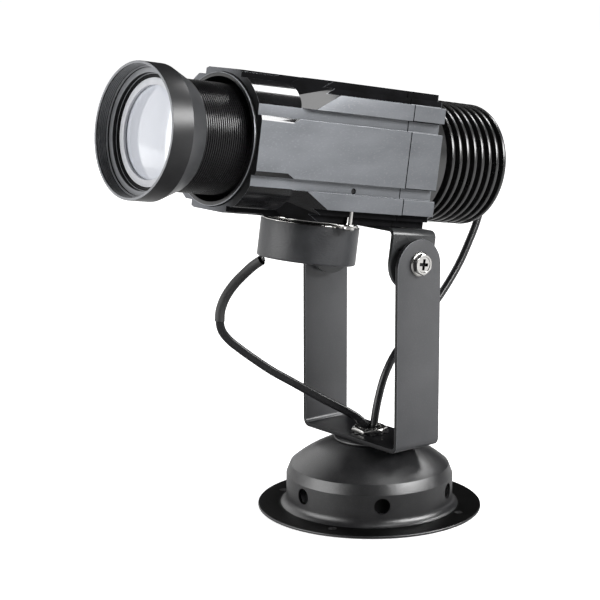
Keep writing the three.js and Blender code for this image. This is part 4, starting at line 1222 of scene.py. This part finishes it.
# %% Sleeve and the pieces inside
def painted_highlight_rim(face):
    """1 on the sleeve's front rim, painted bright as a painted highlight, and 0 elsewhere."""
    _, radius = level_and_radius(face)
    return 1 if face.normal.z < -0.2 and radius > 32 else 0


collar = ring(30.4, 32.6, -110, -35.7, 0.35, 160)
mark(collar, painted_highlight_rim)
finished("collar_sleeve", collar, [sleeve_black, painted_highlight_edge], "head", ["lens_sleeve"],
         place=about_y)
repaint(sleeve_black, "joining_sleeve", "condenser_holder", "gobo_ring", "front_lens_guide",
        "rear_lens_guide")
# The grub screw, deep in its hole, is painted black as painted shade.
repaint(painted_shade_black, "sleeve_grub_screw")
repaint(zinc, "led_board", "motor_shaft", "gear_retaining_clip", "gobo_disc")
repaint(phosphor, "led_emitter")
repaint(white_plastic, "crown_gear")
repaint(brass, "drive_pinion", "gear_bearing_ring")

# %% [markdown]
# ## The motor
# A flat synchronous motor hangs under the head by a plate with two ears. A black cap covers it, and
# shrinking has left faint upright wrinkles in the cap's wall.

# %% Motor cap finish
def cap_finish():
    """Plastic with the wrinkles laid over its own grain."""
    material = finish("cap_plastic", (0.022, 0.023, 0.025), (0.034, 0.035, 0.038), 0.38, patch=9)
    nodes = material.node_tree.nodes
    wiring = Wiring(material.node_tree)
    wrapped = wiring.add("ShaderNodeUVMap", uv_map="UVMap").outputs[0]
    drawn_out = wiring.add("ShaderNodeMapping", {"Vector": wrapped, "Scale": (1, 0.012, 1)}).outputs[0]
    wrinkles = wiring.add("ShaderNodeTexNoise", {"Vector": drawn_out, "Scale": 90, "Detail": 3})
    raised = wiring.add("ShaderNodeBump", {
        "Strength": 0.35, "Distance": 0.3 * mm, "Height": wrinkles.outputs["Fac"],
        "Normal": nodes["Bump"].outputs["Normal"],
    })
    wiring.feed(nodes["Principled BSDF"], {"Normal": raised.outputs["Normal"]})
    return material


cap_plastic = cap_finish()
print("cap finish:", len(cap_plastic.node_tree.nodes), "nodes")

# %% Motor
to_motor = Matrix.Translation((0, motor_y, 0))
cap_radius, cap_inside, cap_floor, cap_rim = 25.4, 24.9, -56.8, -37.3
lead_x, lead_y = -14.2, -14.9
cap = lathe(softened([
    (0, cap_floor), (cap_radius, cap_floor), (cap_radius, cap_rim), (cap_inside, cap_rim),
    (cap_inside, -55.7), (0, -55.7),
], 1.2, steps=5), 128)
finished("motor_cap", with_cuts(cap, [plug(2.5, -60, -50, 32, (lead_x, lead_y, 0))]), cap_plastic,
         "head", ["motor_cover"], place=to_motor, sharp=40)
can = lathe(softened([(0, -55.1), (24.6, -55.1), (24.6, -36.3), (0, -36.3)], 0.8, steps=3), 128)
finished("motor_body", can, nickel, "head", ["motor_can"], place=to_motor)
plate_outline = (arc((29, 0), 5, 90, -90, 12) + arc((0, 0), 22, -13.2, -166.8, 32)
                 + arc((-29, 0), 5, 270, 90, 12) + arc((0, 0), 22, 166.8, 13.2, 32))
plate_holes = [plug(radius, -40, -30, 28, (x, 0, 0))
               for x, radius in ((0, 2.6), (tab_reach, 1.9), (-tab_reach, 1.9))]
finished("tab_plate_pressed", with_cuts(prism(plate_outline, -36.0, -35.0, 0.15), plate_holes), nickel,
         "head", ["motor_tab_plate"], place=to_motor)
grommet = lathe(softened([
    (1.3, -57.75), (3.2, -57.75), (3.2, -56.95), (2.2, -56.95), (2.2, -55.7), (1.3, -55.7),
], 0.2), 32)
finished("lead_grommet", grommet, black_plastic, "head", ["motor_lead_grommet"],
         place=Matrix.Translation((lead_x, motor_y + lead_y, 0)))

# %% [markdown]
# ## Floor and backdrop
# The photograph's backdrop is plain white. The floor and the world behind it look white to the
# camera alone: a light path node tells which ray is asking. For the lamps the floor is pale and
# takes the shadow. In reflections it is dimmer near the canopy and towards the camera, where the
# photograph's black parts mirror something darker than the backdrop.

# %% Floor and world
half_floor, floor_drop = 12, 0.0004
corners = [(x * half_floor, y * half_floor, -floor_drop) for x, y in ((-1, -1), (1, -1), (1, 1), (-1, 1))]
floor_mesh = bpy.data.meshes.new("floor")
floor_mesh.from_pydata(corners, [], [(0, 1, 2, 3)])
floor = put_in_scene("floor", floor_mesh)


def floor_finish():
    """White to the camera, dimmer in reflections, pale to the lamps."""
    material, wiring, shader = new_material("floor_white")
    path = wiring.add("ShaderNodeLightPath").outputs
    place = wiring.add("ShaderNodeTexCoord").outputs["Object"]
    distance = wiring.add("ShaderNodeVectorMath", {0: place}, operation="LENGTH").outputs["Value"]
    bearing = wiring.add("ShaderNodeVectorMath", {0: place}, operation="NORMALIZE").outputs[0]
    ahead = wiring.add("ShaderNodeVectorMath", {0: bearing, 1: (away.x, away.y, 0)},
                       operation="DOT_PRODUCT").outputs["Value"]
    under_canopy = wiring.ramp(distance, 0.055, 0.060)
    seen = wiring.math("MULTIPLY", wiring.ramp(distance, 0.2, 2.0, 0.8, 1), under_canopy)
    mirrored = wiring.math("MULTIPLY", wiring.ramp(distance, 0.10, 0.35, 0.5, 1),
                           wiring.ramp(ahead, 0.3, 0.8, 1, 0.45))
    bounced = wiring.math("MAXIMUM", path["Is Glossy Ray"], path["Is Transmission Ray"])
    glow = wiring.math("ADD", wiring.math("MULTIPLY", path["Is Camera Ray"], seen),
                       wiring.math("MULTIPLY", bounced, mirrored))
    wiring.feed(shader, {
        "Roughness": 0.9, "Specular IOR Level": 0.1, "Base Color": wiring.ramp(bounced, 0, 1, 0.8, 0),
        "Emission Color": (1, 1, 1, 1), "Emission Strength": glow,
    })
    return material


floor_mesh.materials.append(floor_finish())
room_light = 0.015
world = bpy.data.worlds.new("studio")
bpy.context.scene.world = world
world.use_nodes = True
sky = Wiring(world.node_tree)
camera_ray = sky.add("ShaderNodeLightPath").outputs["Is Camera Ray"]
sky.feed(world.node_tree.nodes["Background"], {
    "Color": (1, 1, 1, 1), "Strength": sky.math("MAXIMUM", camera_ray, room_light),
})
print("floor:", 2 * half_floor, "m square")


# %% [markdown]
# ## Lamps
# The lamps shape the bright streaks on the black parts, so each is set by what it lights. A long,
# strong lamp stands at the right and somewhat behind, and a large soft one at the left front.
# Weaker ones fill in: one low at the left, a small one behind, a large one on the far side and a
# small one overhead.

# %% Six soft lamps
def soft_lamp(name, place, aim, width, height, power):
    """A rectangle of light of a width and height in metres and a power in watts."""
    lamp = bpy.data.lights.new(name, "AREA")
    lamp.shape = "RECTANGLE"
    lamp.size = width
    lamp.size_y = height
    lamp.energy = power
    holder = put_in_scene(name, lamp)
    holder.location = place
    holder.rotation_euler = (Vector(aim) - Vector(place)).to_track_quat("-Z", "Y").to_euler()


soft_lamp("right_side", (1.45, 0.74, 0.94), (0, -0.03, 0.10), 1.7, 0.55, 52)
soft_lamp("left_front", (-0.55, -1.80, 0.58), (0, -0.10, 0.15), 1.6, 1.2, 27)
soft_lamp("left_side", (-1.30, -1.12, 0.28), (0, -0.12, 0.20), 1.1, 0.9, 3.6)
soft_lamp("back_strip", (-0.05, 0.895, 1.00), (0, -0.05, 0.20), 0.22, 0.28, 4)
soft_lamp("far_side", (-1.60, 0.00, 0.95), (0, 0, 0.15), 1.5, 1.6, 10)
soft_lamp("overhead", (0.42, 0.20, 1.30), (0, -0.07, 0.22), 0.4, 0.4, 2.5)
print("lamps:", [light.name for light in bpy.data.lights])
